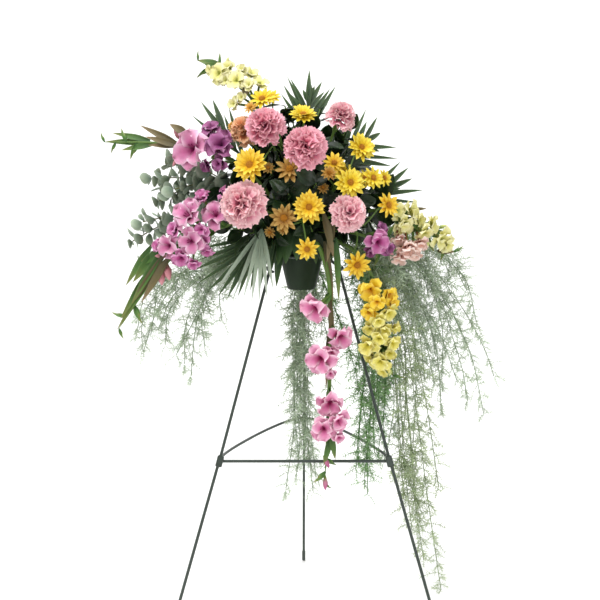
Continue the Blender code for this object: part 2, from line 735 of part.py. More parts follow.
def gladiolus(name, heading, route, florets, buds, sheaths, finish, seed, ruffled=True):
    """Stem with florets at their places, and buds and sheaths by their distance back from the tip."""
    dice = Random(seed)
    line = smooth_line(planted(heading, SPIKE_STEM) + [Vector(point) for point in route])
    total = line_length(line)
    seats = []
    for x, y, z, diameter in florets:
        place = Vector((x, y, z))
        seats.append((max(0.07, nearest(line, place) - 0.012), place, diameter / 2))
    marks = [(0.0, "ring", 0), (0.032, "ring", 0), (total, "ring", 0)]
    marks += [(distance, "ring", 0) for distance, _, _ in seats]
    marks += [(total - back, "bud", index % 2) for index, back in enumerate(buds)]
    marks += [(total - back, "sheath", index % 2) for index, back in enumerate(sheaths)]
    stations, planned = [], []
    for distance, kind, hand in sorted(marks):
        if kind == "ring":
            if not stations or distance - stations[-1] > 0.004:
                stations.append(distance)
            continue
        planned.append((len(stations), kind == "bud", hand))
        stations += [max(distance - 0.0022, stations[-1] + 0.001), distance + 0.0022]
    radii = []
    for distance in stations:
        share = distance / total
        radii.append(SPIKE_STEM * (1.0 - 0.25 * share) if share < 0.7 else SPIKE_STEM * (0.825 - 2.3 * (share - 0.7)))
    posts = frames(line, stations, VIEWER)
    shoots = {}
    sides = 4
    for band, is_bud, hand in planned:
        post = posts[band]
        sideways = post[1].cross(VIEWER).normalized() * (1 if hand else -1)
        side = side_towards(post, sideways + VIEWER * 0.4, sides)
        share = stations[band] / total
        size = 1.25 - 0.75 * share

        def shoot(centre, out, direction, is_bud=is_bud, size=size):
            length = (0.042 if is_bud else 0.036) * size
            lean = 0.34 if is_bud else 0.5
            target = centre + direction * length + out * (length * lean)
            if is_bud:
                outline = [(length * 0.42, 0.0, pair(0.0052 * size)), (length * 1.05, 0.0, POINT)]
                rows, turned = leaning(centre, out, direction, target, outline, 0.0085 * size, False)
                point = rows[-1][0]
                return [rows[0], (point, None)], turned
            outline = [(length * 0.4, 0.0, pair(0.0062 * size)), (length * 1.05, 0.0, POINT)]
            return leaning(centre, out, direction, target, outline, LEAF_THICKNESS, False)

        shoots[(band, side)] = shoot
    shape = bmesh.new()
    stalk(shape, posts, radii, sides, shoots)
    spike = add_object(name, shape, finish)
    pieces = []
    for distance, place, radius in seats:
        root, _ = along(line, distance)
        tube = max(0.008, (place - root).length - 0.30 * radius)
        piece = add_object("floret", floret(radius, tube, ruffled, dice), finish)
        pieces.append(set_bloom(piece, root, place - root, dice.uniform(0, 2)))
    boolean(spike, pieces, "UNION")


# Palm fronds: narrow blades from both sides of a slim stem
def palm(name, heading, root, tips, seed):
    dice = Random(seed)
    root = Vector(root)
    tips = [Vector(tip) for tip in tips]
    middle = sum(tips, Vector()) / len(tips)
    onward = (middle - root).normalized()
    line = smooth_line(planted(heading, FROND_STEM) + [root, root + onward * 0.05])
    total = line_length(line)
    spacing = 0.011
    order = sorted(range(len(tips)), key=lambda index: (tips[index] - middle).length, reverse=True)
    stations, bands = [0.0, 0.03], []
    first = total - 0.004 - spacing * len(order)
    for index in range(len(order)):
        bands.append(len(stations))
        stations += [first + spacing * index, first + spacing * index + 0.005]
    stations.append(total)
    count = len(stations)
    radii = [FROND_STEM * (1 - 0.45 * index / count) for index in range(count)]
    posts = frames(line, stations, VIEWER)
    shoots = {}
    for band, index in zip(bands, order):
        tip = tips[index]
        side = side_towards(posts[band], tip - posts[band][0], 4)
        width = dice.uniform(0.0045, 0.0060)

        def shoot(centre, out, direction, tip=tip, width=width):
            length = (tip - centre).length
            outline = [(length * 0.38, 0.0, pair(width)), (length, 0.0, POINT)]
            return leaning(centre, out, direction, tip, outline, LEAF_THICKNESS, True)

        while (band, side) in shoots:
            side = (side + 1) % 4
        shoots[(band, side)] = shoot
    shape = bmesh.new()
    stalk(shape, posts, radii, 4, shoots)
    add_object(name, shape, PALM_GREEN)


def leafy_branch(line, bare, first, spacing, radius, make_shoot, per_node, twist, sides):
    """A stalk, bare at the given stations, with whorls of shoots at even spacing from the first one on."""
    total = line_length(line)
    stations, bands = list(bare), []
    distance = first
    while distance < total - 0.008:
        bands.append(len(stations))
        stations += [distance - 0.0014, distance + 0.0014]
        distance += spacing
    stations.append(total)
    posts = frames(line, stations, VIEWER, twist)
    radii = [radius * (1 - 0.5 * value / total) for value in stations]
    shoots = {}
    for number, band in enumerate(bands):
        for index in range(per_node):
            side = (index * sides // per_node + number % 2) % sides
            shoots[(band, side)] = make_shoot(number, index)
    shape = bmesh.new()
    stalk(shape, posts, radii, sides, shoots)
    return shape


def eucalyptus_leaf(dice):
    def make(number, index):
        size = dice.uniform(0.023, 0.029)

        def shoot(centre, out, direction):
            target = centre + out * size + direction * (size * 0.45)
            outline = [(size * 0.40, 0.0, pair(size * 0.48)), (size * 1.0, 0.0, pair(size * 0.26))]
            return leaning(centre, out, direction, target, outline, LEAF_THICKNESS, False)
        return shoot
    return make


def needles(dice, long_reach, short_reach):
    """Side shoots of the asparagus: a long three-sided one and short ones in each whorl."""
    def make(number, index):
        reach = (long_reach if index == number % 3 else short_reach) * dice.uniform(0.8, 1.15)
        lean = dice.uniform(0.35, 0.8)

        def shoot(centre, out, direction):
            tip = centre + out * reach + direction * (reach * lean)
            return [([tip], None)], False
        return shoot
    return make


def bunch(name, heading, radius, routes, first, spacing, make_shoot, sides, per_node, twist, finish):
    """Branches that leave one hole together: the first is the main one, and the rest join it."""
    main = smooth_line(planted(heading, radius) + [Vector(point) for point in routes[0]])
    shape = leafy_branch(main, [0.0, 0.030, 0.055, 0.085], first, spacing, radius, make_shoot, per_node, twist, sides)
    trunk = add_object(name, shape, finish)
    branches = []
    for number, route in enumerate(routes[1:]):
        fork, _ = along(main, 0.084 - 0.018 * number)
        line = smooth_line([fork] + [Vector(point) for point in route])
        shape = leafy_branch(line, [0.0, 0.022], 0.048, spacing, radius * 0.86, make_shoot, per_node, twist, sides)
        branches.append(add_object("branch", shape, finish))
    boolean(trunk, branches, "UNION")


def salal(name, heading, twigs, seed):
    """Twigs from one hole, each with broad leathery leaves whose tips reach the given places."""
    dice = Random(seed)
    main = smooth_line(planted(heading, THIN_STEM) + [Vector(point) for point in twigs[0][0]])
    pieces = []
    for number, (route, leaves) in enumerate(twigs):
        line = main
        if number:
            line = smooth_line([along(main, 0.030 + 0.005 * number)[0]] + [Vector(point) for point in route])
        total = line_length(line)
        bare = 0.6 * total if number == 0 else 0.45 * total
        stations, bands = [0.0, 0.030] if number == 0 else [0.0], []
        for index in range(len(leaves)):
            bands.append(len(stations))
            distance = bare + (total - bare - 0.004) * index / len(leaves)
            stations += [distance, distance + 0.0035]
        stations.append(total)
        posts = frames(line, stations, VIEWER)
        shoots = {}
        for band, leaf in zip(bands, leaves):
            tip = Vector(leaf)
            side = side_towards(posts[band], tip - posts[band][0], 4)

            def shoot(centre, out, direction, tip=tip):
                length = (tip - centre).length
                width = min(0.019, length * 0.28) * dice.uniform(0.9, 1.1)
                outline = [(length * 0.30, 0.0, pair(width * 0.85)), (length * 0.65, 0.004, pair(width)),
                           (length, 0.0, POINT)]
                return leaning(centre, out, direction, tip, outline, LEAF_THICKNESS, False)

            shoots[(band, side)] = shoot
        shape = bmesh.new()
        stalk(shape, posts, [THIN_STEM * (0.9 if number else 1.0)] * len(stations), 4, shoots)
        pieces.append(add_object("twig" if number else name, shape, DARK_LEAF))
    boolean(pieces[0], pieces[1:], "UNION")


# Where every bloom stands: place, diameter, and the way that it looks
carnation("carnation_top_left", (-0.074, -0.180, 1.026), 0.077, (-0.25, -0.75, 0.55), (-0.064, -0.092, 0.186), 1)
carnation("carnation_top_front", (0.000, -0.250, 0.988), 0.082, (0.05, -0.92, 0.35), (0.006, -0.162, 0.146), 2)
carnation("carnation_left", (-0.114, -0.240, 0.884), 0.087, (-0.35, -0.92, 0.05), (-0.104, -0.152, 0.049), 3)
carnation("carnation_right", (0.080, -0.240, 0.868), 0.069, (0.35, -0.90, 0.10), (0.080, -0.152, 0.033), 4)
carnation("carnation_top_right", (0.068, -0.140, 1.044), 0.060, (0.35, -0.45, 0.80), (0.074, -0.052, 0.205), 5)
carnation("carnation_back_left", (-0.114, -0.124, 1.018), 0.060, (-0.45, -0.60, 0.66), (-0.103, -0.032, 0.168), 6)

top_heads = [daisy("daisy_top_left", (-0.098, -0.250, 0.954), 0.068, (-0.25, -0.90, 0.30), 2, 11),
             daisy("daisy_top_shaded", (-0.028, -0.190, 0.946), 0.059, (-0.05, -0.85, 0.45), 1, 12),
             daisy("daisy_top_front", (-0.003, -0.160, 1.045), 0.056, (0.05, -0.55, 0.80), 2, 13),
             daisy("daisy_top_back", (-0.080, -0.130, 1.076), 0.053, (-0.15, -0.75, 0.60), 1, 14)]
daisy_spray("daisy_stem_top", (-0.030, -0.050, 0.170), (-0.036, -0.125, 0.965), top_heads)

front_heads = [daisy("daisy_front", (0.007, -0.260, 0.880), 0.061, (0.0, -0.98, 0.10), 2, 15),
               daisy("daisy_front_shaded", (-0.038, -0.220, 0.858), 0.058, (-0.15, -0.95, 0.0), 1, 16),
               daisy("daisy_front_low", (0.004, -0.230, 0.802), 0.047, (0.0, -0.97, -0.15), 1, 17)]
daisy_spray("daisy_stem_front", (0.006, -0.152, 0.020), (-0.004, -0.180, 0.850), front_heads)

right_heads = [daisy("daisy_right_high", (0.104, -0.170, 0.985), 0.056, (0.35, -0.80, 0.40), 2, 18),
               daisy("daisy_right_middle", (0.081, -0.230, 0.922), 0.061, (0.25, -0.92, 0.20), 2, 19),
               daisy("daisy_right_outer", (0.125, -0.200, 0.930), 0.048, (0.50, -0.80, 0.25), 1, 20),
               daisy("daisy_right_inner", (0.054, -0.180, 0.959), 0.044, (0.15, -0.85, 0.45), 1, 21)]
daisy_spray("daisy_stem_right", (0.086, -0.096, 0.112), (0.062, -0.150, 0.915), right_heads)

side_heads = [daisy("daisy_side_high", (0.154, -0.190, 0.880), 0.050, (0.50, -0.82, 0.15), 1, 22),
              daisy("daisy_side_low", (0.096, -0.210, 0.771), 0.055, (0.30, -0.93, -0.10), 1, 23)]
daisy_spray("daisy_stem_side", (0.136, -0.112, 0.005), (0.085, -0.160, 0.836), side_heads)

gladiolus("gladiolus_left_high", (-0.149, -0.042, 0.135),
          [(-0.120, -0.105, 0.950), (-0.200, -0.090, 0.985), (-0.300, -0.070, 0.995), (-0.390, -0.050, 0.996)],
          [(-0.211, -0.130, 0.982, 0.066), (-0.155, -0.150, 0.986, 0.056)],
          [0.030, 0.060, 0.090, 0.120, 0.150], [0.180], ORCHID_PINK, 31)
gladiolus("gladiolus_left_low", (-0.850, -0.450, 0.050),
          [(-0.130, -0.150, 0.842), (-0.200, -0.150, 0.820), (-0.275, -0.130, 0.755), (-0.362, -0.100, 0.636)],
          [(-0.213, -0.190, 0.859, 0.058), (-0.164, -0.190, 0.860, 0.050), (-0.250, -0.180, 0.804, 0.044),
           (-0.208, -0.208, 0.815, 0.044)],
          [0.030, 0.060, 0.090, 0.120], [0.170], ORCHID_PINK, 32)
gladiolus("gladiolus_front", (0.250, -0.930, -0.250),
          [(0.030, -0.175, 0.795), (0.046, -0.185, 0.730), (0.048, -0.185, 0.600), (0.044, -0.185, 0.480),
           (0.038, -0.190, 0.350)],
          [(0.021, -0.225, 0.695, 0.051), (0.063, -0.220, 0.640, 0.046), (0.030, -0.230, 0.600, 0.052),
           (0.046, -0.225, 0.516, 0.047), (0.036, -0.230, 0.468, 0.045)],
          [0.022, 0.050, 0.075], [0.160], ROSE_PINK, 33)
gladiolus("gladiolus_top", (-0.094, 0.013, 0.255),
          [(-0.085, -0.070, 1.050), (-0.120, -0.055, 1.100), (-0.160, -0.045, 1.130), (-0.207, -0.040, 1.153)],
          [(-0.163, -0.075, 1.125, 0.036), (-0.129, -0.100, 1.111, 0.034), (-0.103, -0.080, 1.122, 0.032),
           (-0.086, -0.095, 1.103, 0.030)],
          [0.020, 0.042], [0.070], CREAM, 34, False)
gladiolus("gladiolus_right", (0.957, -0.196, 0.215),
          [(0.150, -0.120, 0.868), (0.205, -0.105, 0.848), (0.250, -0.080, 0.820), (0.293, -0.060, 0.782)],
          [(0.200, -0.130, 0.865, 0.031), (0.184, -0.142, 0.838, 0.030), (0.261, -0.100, 0.812, 0.034),
           (0.195, -0.152, 0.804, 0.034)],
          [0.018, 0.040], [0.080], CREAM, 35, False)
gladiolus("gladiolus_hanging", (0.620, -0.750, -0.230),
          [(0.090, -0.165, 0.795), (0.128, -0.170, 0.740), (0.142, -0.165, 0.660), (0.168, -0.160, 0.555)],
          [(0.122, -0.208, 0.727, 0.041), (0.154, -0.195, 0.714, 0.032), (0.121, -0.205, 0.683, 0.030),
           (0.152, -0.198, 0.684, 0.029), (0.121, -0.210, 0.625, 0.036), (0.160, -0.200, 0.626, 0.029)],
          [0.018, 0.038], [0.060], LEMON, 36, False)

gladiolus("gladiolus_side", (0.900, -0.430, -0.060),
          [(0.090, -0.150, 0.826), (0.128, -0.165, 0.815), (0.160, -0.160, 0.790)],
          [(0.133, -0.205, 0.814, 0.042)], [0.014], [0.036], ORCHID_PINK, 37)

palm("palm_top", (0.013, 0.028, 0.219), (0.007, -0.060, 1.040),
     [(-0.034, -0.040, 1.120), (-0.012, -0.030, 1.128), (0.009, -0.040, 1.135), (0.036, -0.035, 1.122),
      (0.063, -0.050, 1.104), (-0.045, -0.055, 1.085), (0.060, -0.060, 1.075)], 41)
palm("palm_upper_right", (0.094, 0.028, 0.155), (0.088, -0.060, 0.980),
     [(0.121, -0.030, 1.063), (0.144, -0.030, 1.047), (0.165, -0.040, 1.015), (0.172, -0.045, 0.992),
      (0.100, -0.030, 1.060)], 42)
palm("palm_right", (0.850, 0.100, 0.500), (0.130, -0.085, 0.895),
     [(0.214, -0.040, 0.926), (0.238, -0.040, 0.904), (0.205, -0.050, 0.948), (0.225, -0.050, 0.880),
      (0.190, -0.050, 0.960)], 43)
palm("palm_upper_left", (-0.130, 0.028, 0.155), (-0.136, -0.060, 0.985),
     [(-0.206, -0.020, 1.077), (-0.182, -0.020, 1.082), (-0.150, -0.030, 1.065), (-0.225, -0.030, 1.050)], 44)
palm("palm_lower_left", (-0.700, -0.690, -0.170), (-0.080, -0.150, 0.815),
     [(-0.191, -0.120, 0.768), (-0.175, -0.120, 0.748), (-0.159, -0.120, 0.729), (-0.138, -0.120, 0.722),
      (-0.117, -0.120, 0.717), (-0.095, -0.120, 0.725), (-0.071, -0.120, 0.742), (-0.178, -0.110, 0.790)], 45)

bunch("eucalyptus", (-0.896, 0.174, 0.405), THIN_STEM,
      [[(-0.150, -0.050, 0.905), (-0.230, -0.035, 0.925), (-0.303, -0.020, 0.925)],
       [(-0.200, -0.040, 0.870), (-0.290, -0.030, 0.830), (-0.344, -0.020, 0.800)],
       [(-0.170, -0.050, 0.840), (-0.270, -0.040, 0.790), (-0.325, -0.030, 0.745)]],
      0.100, 0.046, eucalyptus_leaf(Random(51)), 4, 2, 0.5, GREY_GREEN)

fern = needles(Random(52), 0.038, 0.020)
bunch("asparagus_left", (-0.993, -0.050, -0.100), THIN_STEM,
      [[(-0.120, -0.080, 0.830), (-0.220, -0.060, 0.760), (-0.290, -0.050, 0.670), (-0.323, -0.050, 0.580)],
       [(-0.180, -0.060, 0.740), (-0.215, -0.050, 0.640), (-0.228, -0.050, 0.531)],
       [(-0.140, -0.065, 0.750), (-0.168, -0.050, 0.700), (-0.165, -0.050, 0.645)]],
      0.130, 0.037, fern, 3, 3, 0.35, FERN_GREEN)
bunch("asparagus_right_high", (0.927, 0.361, 0.103), THIN_STEM,
      [[(0.130, -0.040, 0.845), (0.240, -0.025, 0.740), (0.330, -0.020, 0.590), (0.367, -0.020, 0.446)],
       [(0.225, -0.025, 0.825), (0.290, -0.020, 0.765), (0.327, -0.020, 0.701)],
       [(0.180, -0.028, 0.745), (0.265, -0.020, 0.630), (0.310, -0.020, 0.517)]],
      0.130, 0.037, fern, 3, 3, 0.35, FERN_GREEN)
bunch("asparagus_right_low", (0.971, 0.123, -0.204), THIN_STEM,
      [[(0.110, -0.070, 0.790), (0.190, -0.075, 0.650), (0.220, -0.085, 0.480), (0.245, -0.090, 0.300),
        (0.275, -0.100, 0.102)],
       [(0.195, -0.050, 0.670), (0.240, -0.050, 0.500), (0.272, -0.060, 0.304)]],
      0.130, 0.037, fern, 3, 3, 0.35, FERN_GREEN)
bunch("asparagus_back", (0.200, 0.950, -0.100), THIN_STEM,
      [[(0.006, -0.020, 0.815), (0.030, -0.008, 0.740), (0.085, -0.010, 0.600), (0.122, -0.080, 0.440),
        (0.126, -0.095, 0.300)],
       [(-0.018, -0.010, 0.720), (-0.030, -0.015, 0.600), (-0.030, -0.025, 0.440), (-0.038, -0.030, 0.289)]],
      0.130, 0.037, fern, 3, 3, 0.35, FERN_GREEN)

salal("salal", (0.300, 0.250, 0.900),
      [([(0.030, -0.060, 0.945), (0.045, -0.050, 1.000)],
        [(-0.015, -0.020, 0.985), (0.010, -0.120, 0.985), (0.095, -0.085, 1.010), (0.085, -0.020, 1.000),
         (0.060, -0.060, 1.070)]),
       ([(-0.026, -0.060, 0.930), (-0.046, -0.036, 1.000)],
        [(-0.110, -0.030, 0.950), (-0.030, -0.120, 1.000), (-0.060, -0.030, 1.060)]),
       ([(0.045, -0.100, 0.890), (0.110, -0.088, 0.925)],
        [(0.090, -0.120, 0.890), (0.160, -0.070, 0.940), (0.120, -0.040, 0.980)])], 53)


# Foam: fills the pot and stands proud of it, with a blind hole for every stem
def foam_outline():
    floor = POT_FOOT_HEIGHT + POT_WALL + CLEARANCE
    gap = POT_WALL + CLEARANCE * 2
    rim = POT_RIM_HEIGHT + 0.0005
    return [(0, floor), (POT_FOOT_RADIUS - gap, floor), (pot_radius(POT_RIM_HEIGHT) - gap - 0.0004, rim),
            (FOAM_RADIUS, FOAM_HEART.z - 0.006), (FOAM_RADIUS * 0.94, FOAM_HEART.z + 0.015),
            (FOAM_RADIUS * 0.72, FOAM_HEART.z + 0.031), (FOAM_RADIUS * 0.36, FOAM_HEART.z + 0.0415),
            (0, FOAM_HEART.z + 0.045)]


foam = turned("foam", foam_outline(), 16, POT_AXIS, FOAM)
bores = []
for heading, radius in HOLES:
    bottom = FOAM_HEART + heading * (FOAM_RADIUS - HOLE_DEPTH - CLEARANCE)
    bores.append(wire_bore((bottom, FOAM_HEART + heading * 0.062), radius / cos(pi / 5) + CLEARANCE, 5))
boolean(foam, bores, "DIFFERENCE")


# Origin at the middle of the base of the bounding box
bpy.context.view_layer.update()
depsgraph = bpy.context.evaluated_depsgraph_get()
solids = [item for item in bpy.data.objects if item.type in ("MESH", "CURVE")]
reach = []
for item in solids:
    mesh = item.evaluated_get(depsgraph).to_mesh()
    reach += [item.matrix_world @ vertex.co for vertex in mesh.vertices]
middle_x, middle_y = [(min(place[axis] for place in reach) + max(place[axis] for place in reach)) / 2
                      for axis in (0, 1)]
for item in solids:
    item.location -= Vector((middle_x, middle_y, 0))
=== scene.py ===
"""Standing funeral spray: cut flowers in a pot of wet foam on a three-legged wire easel."""

import json
from math import cos, exp, pi, radians, sin
from random import Random

import bmesh
import bpy
from mathutils import Matrix, Quaternion, Vector, geometry, noise

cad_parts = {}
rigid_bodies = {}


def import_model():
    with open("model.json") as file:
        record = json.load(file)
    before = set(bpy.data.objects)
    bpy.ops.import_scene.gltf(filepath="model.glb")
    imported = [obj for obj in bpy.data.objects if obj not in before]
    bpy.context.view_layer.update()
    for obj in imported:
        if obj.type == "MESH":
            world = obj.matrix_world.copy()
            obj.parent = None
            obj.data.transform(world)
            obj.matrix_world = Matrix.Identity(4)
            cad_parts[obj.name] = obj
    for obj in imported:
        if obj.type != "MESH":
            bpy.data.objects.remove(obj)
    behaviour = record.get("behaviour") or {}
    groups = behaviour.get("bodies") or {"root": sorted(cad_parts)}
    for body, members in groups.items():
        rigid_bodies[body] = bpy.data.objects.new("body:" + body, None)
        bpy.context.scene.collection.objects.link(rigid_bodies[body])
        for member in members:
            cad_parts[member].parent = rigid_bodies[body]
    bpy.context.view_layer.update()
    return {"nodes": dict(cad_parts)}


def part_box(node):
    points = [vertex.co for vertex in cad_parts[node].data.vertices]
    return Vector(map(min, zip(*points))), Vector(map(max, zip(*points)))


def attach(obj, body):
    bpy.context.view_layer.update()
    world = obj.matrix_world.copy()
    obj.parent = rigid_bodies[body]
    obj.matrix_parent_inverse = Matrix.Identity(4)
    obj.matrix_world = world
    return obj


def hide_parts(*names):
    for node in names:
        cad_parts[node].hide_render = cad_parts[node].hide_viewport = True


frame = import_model()

# Studio: a floor of pale paper that sweeps up into the backdrop, a large soft light overhead and a fill from
# the front. The camera stands at the height of the blooms and looks a little down, as the photographer did.
cap_low, cap_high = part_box("apex_cap")
easel_axis = Vector(((cap_low.x + cap_high.x) / 2, (cap_low.y + cap_high.y) / 2, 0))


def spot(x, y, z):
    """A place in millimetres from the point on the floor under the easel's apex."""
    return Vector((x / 1000, y / 1000, z / 1000)) + easel_axis


def linear(code):
    """The linear colour of an sRGB hex value."""
    parts = [int(code[index:index + 2], 16) / 255 for index in (1, 3, 5)]
    return (*[part / 12.92 if part <= 0.04045 else ((part + 0.055) / 1.055) ** 2.4 for part in parts], 1.0)


def add(tree, kind, inputs=None, **settings):
    """Add a node with its settings and its inputs, each a value or what is linked to it."""
    made = tree.nodes.new(kind)
    for setting, value in settings.items():
        setattr(made, setting, value)
    for key, value in (inputs or {}).items():
        into = made.inputs[key] if isinstance(key, int) else next(
            socket for socket in made.inputs if socket.name == key and socket.enabled)
        if isinstance(value, bpy.types.Node):
            value = next(socket for socket in value.outputs if socket.enabled)
        if isinstance(value, bpy.types.NodeSocket):
            tree.links.new(value, into)
        else:
            into.default_value = value
    return made


def finish_of(name, **values):
    """A material with these values on its Principled shader, its tree and the shader."""
    material = bpy.data.materials.new(name)
    material.use_nodes = True
    shader = material.node_tree.nodes["Principled BSDF"]
    for key, value in values.items():
        shader.inputs[key.replace("_", " ")].default_value = value
    return material, material.node_tree, shader


def put(name, data):
    """A new object at the origin."""
    item = bpy.data.objects.new(name, data)
    bpy.context.scene.collection.objects.link(item)
    return item


floor_near, floor_depth, floor_rise, half_width, sweep_radius = -6.0, 5.0, 4.0, 7.0, 1.6
profile = [(floor_near, 0.0), (floor_depth - sweep_radius, 0.0)]
profile += [(floor_depth - sweep_radius + sweep_radius * sin(radians(step)),
             sweep_radius - sweep_radius * cos(radians(step))) for step in range(6, 91, 6)]
profile.append((floor_depth, floor_rise))
studio = bmesh.new()
edges = [[studio.verts.new((side * half_width, depth, rise)) for depth, rise in profile] for side in (-1, 1)]
for index in range(len(profile) - 1):
    studio.faces.new((edges[0][index], edges[1][index], edges[1][index + 1], edges[0][index + 1]))
studio_mesh = bpy.data.meshes.new("studio_floor")
studio.to_mesh(studio_mesh)
studio.free()
studio_mesh.shade_smooth()
studio_floor = put("studio_floor", studio_mesh)
# Backdrop paper: matt and nearly white, with a grain of 2.5 mm, coarse enough to show in a glancing light
paper_grains = 400.0  # to the metre
paper_white, paper_tree, paper_shader = finish_of("seamless_backdrop_paper", Base_Color=linear("#f7f7f6"),
                                                  Roughness=0.9)
paper_grain = add(paper_tree, "ShaderNodeTexNoise", {"Scale": paper_grains, "Detail": 2.0})
paper_bump = add(paper_tree, "ShaderNodeBump", {"Strength": 0.05, "Distance": 0.0005, "Height": paper_grain})
paper_tree.links.new(paper_bump.outputs[0], paper_shader.inputs["Normal"])
studio_mesh.materials.append(paper_white)

for name, place, aim, size, power in (
        ("overhead_softbox", (-1.1, -1.5, 3.0), (0.0, 0.0, 0.8), 1.8, 62.0),
        ("front_fill", (1.5, -3.0, 1.5), (0.0, 0.0, 0.8), 2.2, 30.0),
        ("floor_wash", (0.0, 0.9, 3.4), (0.0, 2.6, 0.6), 3.0, 60.0),
        ("backdrop_wash", (0.0, 2.8, 3.4), (0.0, 4.6, 0.8), 3.0, 70.0)):
    lamp = bpy.data.lights.new(name, "AREA")
    lamp.size = size
    lamp.energy = power
    stand = put(name, lamp)
    stand.location = place
    stand.rotation_euler = (Vector(aim) - Vector(place)).to_track_quat("-Z", "Y").to_euler()
world = bpy.data.worlds.new("studio_air")
world.use_nodes = True
air = world.node_tree.nodes["Background"].inputs
air["Color"].default_value, air["Strength"].default_value = linear("#ffffff"), 0.55
bpy.context.scene.world = world
bpy.context.scene.view_settings.view_transform = "Standard"

camera_dip = 7.5
camera = put("camera", bpy.data.cameras.new("camera"))
camera.data.sensor_width = 36.0
camera.data.lens = 68.4
camera.location = spot(-9, -2300, 981)
camera.rotation_euler = (radians(90 - camera_dip), 0, 0)
bpy.context.scene.camera = camera


# Easel: three legs, crossbar, bow and pot ring of 6 mm mild steel wire, cut, bent and joined in crimped
# sleeves, then dipped in one coat of dark green enamel. The bow bends round the rear leg and holds it.
def group_tree(name, sockets):
    """An empty Geometry Nodes tree with these named inputs, its input node and its output node."""
    tree = bpy.data.node_groups.new(name, "GeometryNodeTree")
    tree.interface.new_socket("Geometry", in_out="INPUT", socket_type="NodeSocketGeometry")
    for label, kind in sockets:
        tree.interface.new_socket(label, in_out="INPUT", socket_type="NodeSocket" + kind)
    tree.interface.new_socket("Geometry", in_out="OUTPUT", socket_type="NodeSocketGeometry")
    return tree, tree.nodes.new("NodeGroupInput"), tree.nodes.new("NodeGroupOutput")


def end_tree(tree, out, made, finish):
    """The tree ends with one plain mesh in its finish."""
    made = add(tree, "GeometryNodeRealizeInstances", {"Geometry": made})
    made = add(tree, "GeometryNodeSetMaterial", {"Geometry": made, "Material": finish})
    tree.links.new(made.outputs[0], out.inputs[0])


def run_tree(item, tree, values):
    """Run a tree on an item with these values of its named inputs, and keep the plain mesh that it makes."""
    modifier = item.modifiers.new(tree.name, "NODES")
    modifier.node_group = tree
    for socket in tree.interface.items_tree:
        if socket.item_type == "SOCKET" and socket.in_out == "INPUT" and socket.name in values:
            modifier[socket.identifier] = values[socket.name]
    bpy.context.view_layer.update()
    made = bpy.data.meshes.new_from_object(item.evaluated_get(bpy.context.evaluated_depsgraph_get()))
    item.modifiers.clear()
    item.data = made
    return item


def lines_mesh(name, lines):
    """Open chains of edges. Each line lists places and the thickness of the wire or stem there."""
    mesh = bpy.data.meshes.new(name)
    places, chains, thick = [], [], []
    for line in lines:
        chains += [(len(places) + index, len(places) + index + 1) for index in range(len(line) - 1)]
        places += [place for place, _ in line]
        thick += [radius for _, radius in line]
    mesh.from_pydata(places, chains, [])
    mesh.attributes.new("thick", "FLOAT", "POINT").data.foreach_set("value", thick)
    return mesh


wire_tree, given, out = group_tree("wire along a line", [("Sides", "Int"), ("Finish", "Material")])
wire_line = add(wire_tree, "GeometryNodeMeshToCurve", {"Mesh": given.outputs["Geometry"]})
wire_gauge = add(wire_tree, "GeometryNodeInputNamedAttribute", {"Name": "thick"}, data_type="FLOAT")
wire_round = add(wire_tree, "GeometryNodeCurvePrimitiveCircle",
                 {"Resolution": given.outputs["Sides"], "Radius": 1.0})
wire_skin = add(wire_tree, "GeometryNodeCurveToMesh",
                {"Curve": wire_line, "Profile Curve": wire_round, "Scale": wire_gauge, "Fill Caps": True})
wire_skin = add(wire_tree, "GeometryNodeSetShadeSmooth", {"Geometry": wire_skin})
end_tree(wire_tree, out, wire_skin, given.outputs["Finish"])


def wires(name, lines, sides, finish):
    """Round wires or stems along their lines, as one piece."""
    return run_tree(put(name, lines_mesh(name, lines)), wire_tree, {"Sides": sides, "Finish": finish})


def gauged(line, radius):
    """The line with one thickness all along."""
    return [(place, radius) for place in line]


def smooth_line(points, samples=10):
    """A smooth line through given points."""
    points = [Vector(point) for point in points]
    line = []
    for index in range(len(points) - 1):
        start, end = points[index], points[index + 1]
        before = points[index - 1] if index else start * 2 - end
        after = points[index + 2] if index + 2 < len(points) else end * 2 - start
        reach = (end - start).length / 3
        leave = start + (end - before).normalized() * reach
        arrive = end - (after - start).normalized() * reach
        line += geometry.interpolate_bezier(start, leave, arrive, end, samples)[:-1]
    line.append(points[-1])
    return line


def join_root(piece, slot, *nodes):
    """The piece rides on the one body and stands for the nodes. The slot is not used."""
    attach(piece, "root")
    if nodes:
        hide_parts(*nodes)


# Enamel dipped on wire: thick and satin, a little uneven, in 8 mm runs of a darker and a paler green
enamel_runs = 120.0  # to the metre
enamel, enamel_tree, enamel_shader = finish_of("dark_green_dipped_enamel", Roughness=0.38, Metallic=0.0)
enamel_place = add(enamel_tree, "ShaderNodeTexCoord").outputs["Object"]
enamel_run = add(enamel_tree, "ShaderNodeTexNoise",
                 {"Vector": enamel_place, "Scale": enamel_runs, "Detail": 4.0})
enamel_shade = add(enamel_tree, "ShaderNodeMix", {"Factor": enamel_run, "A": linear("#232b26"),
                                                  "B": linear("#3d4840")}, data_type="RGBA")
enamel_tree.links.new(enamel_shade.outputs[2], enamel_shader.inputs["Base Color"])
enamel_bump = add(enamel_tree, "ShaderNodeBump", {"Strength": 0.25, "Distance": 0.0004, "Height": enamel_run})
enamel_tree.links.new(enamel_bump.outputs[0], enamel_shader.inputs["Normal"])

# Places for spot in millimetres, then sizes in metres
apex_height, upper_aim, foot_side, foot_front, foot_rear = 1000, 268, 274.7, 250, 343
wire_radius, inside_cap, apart_in_cap = 0.003, 0.010, 0.001
lap_gap, lap_overhang, sleeve_drop = 0.00015, 0.012, 0.616


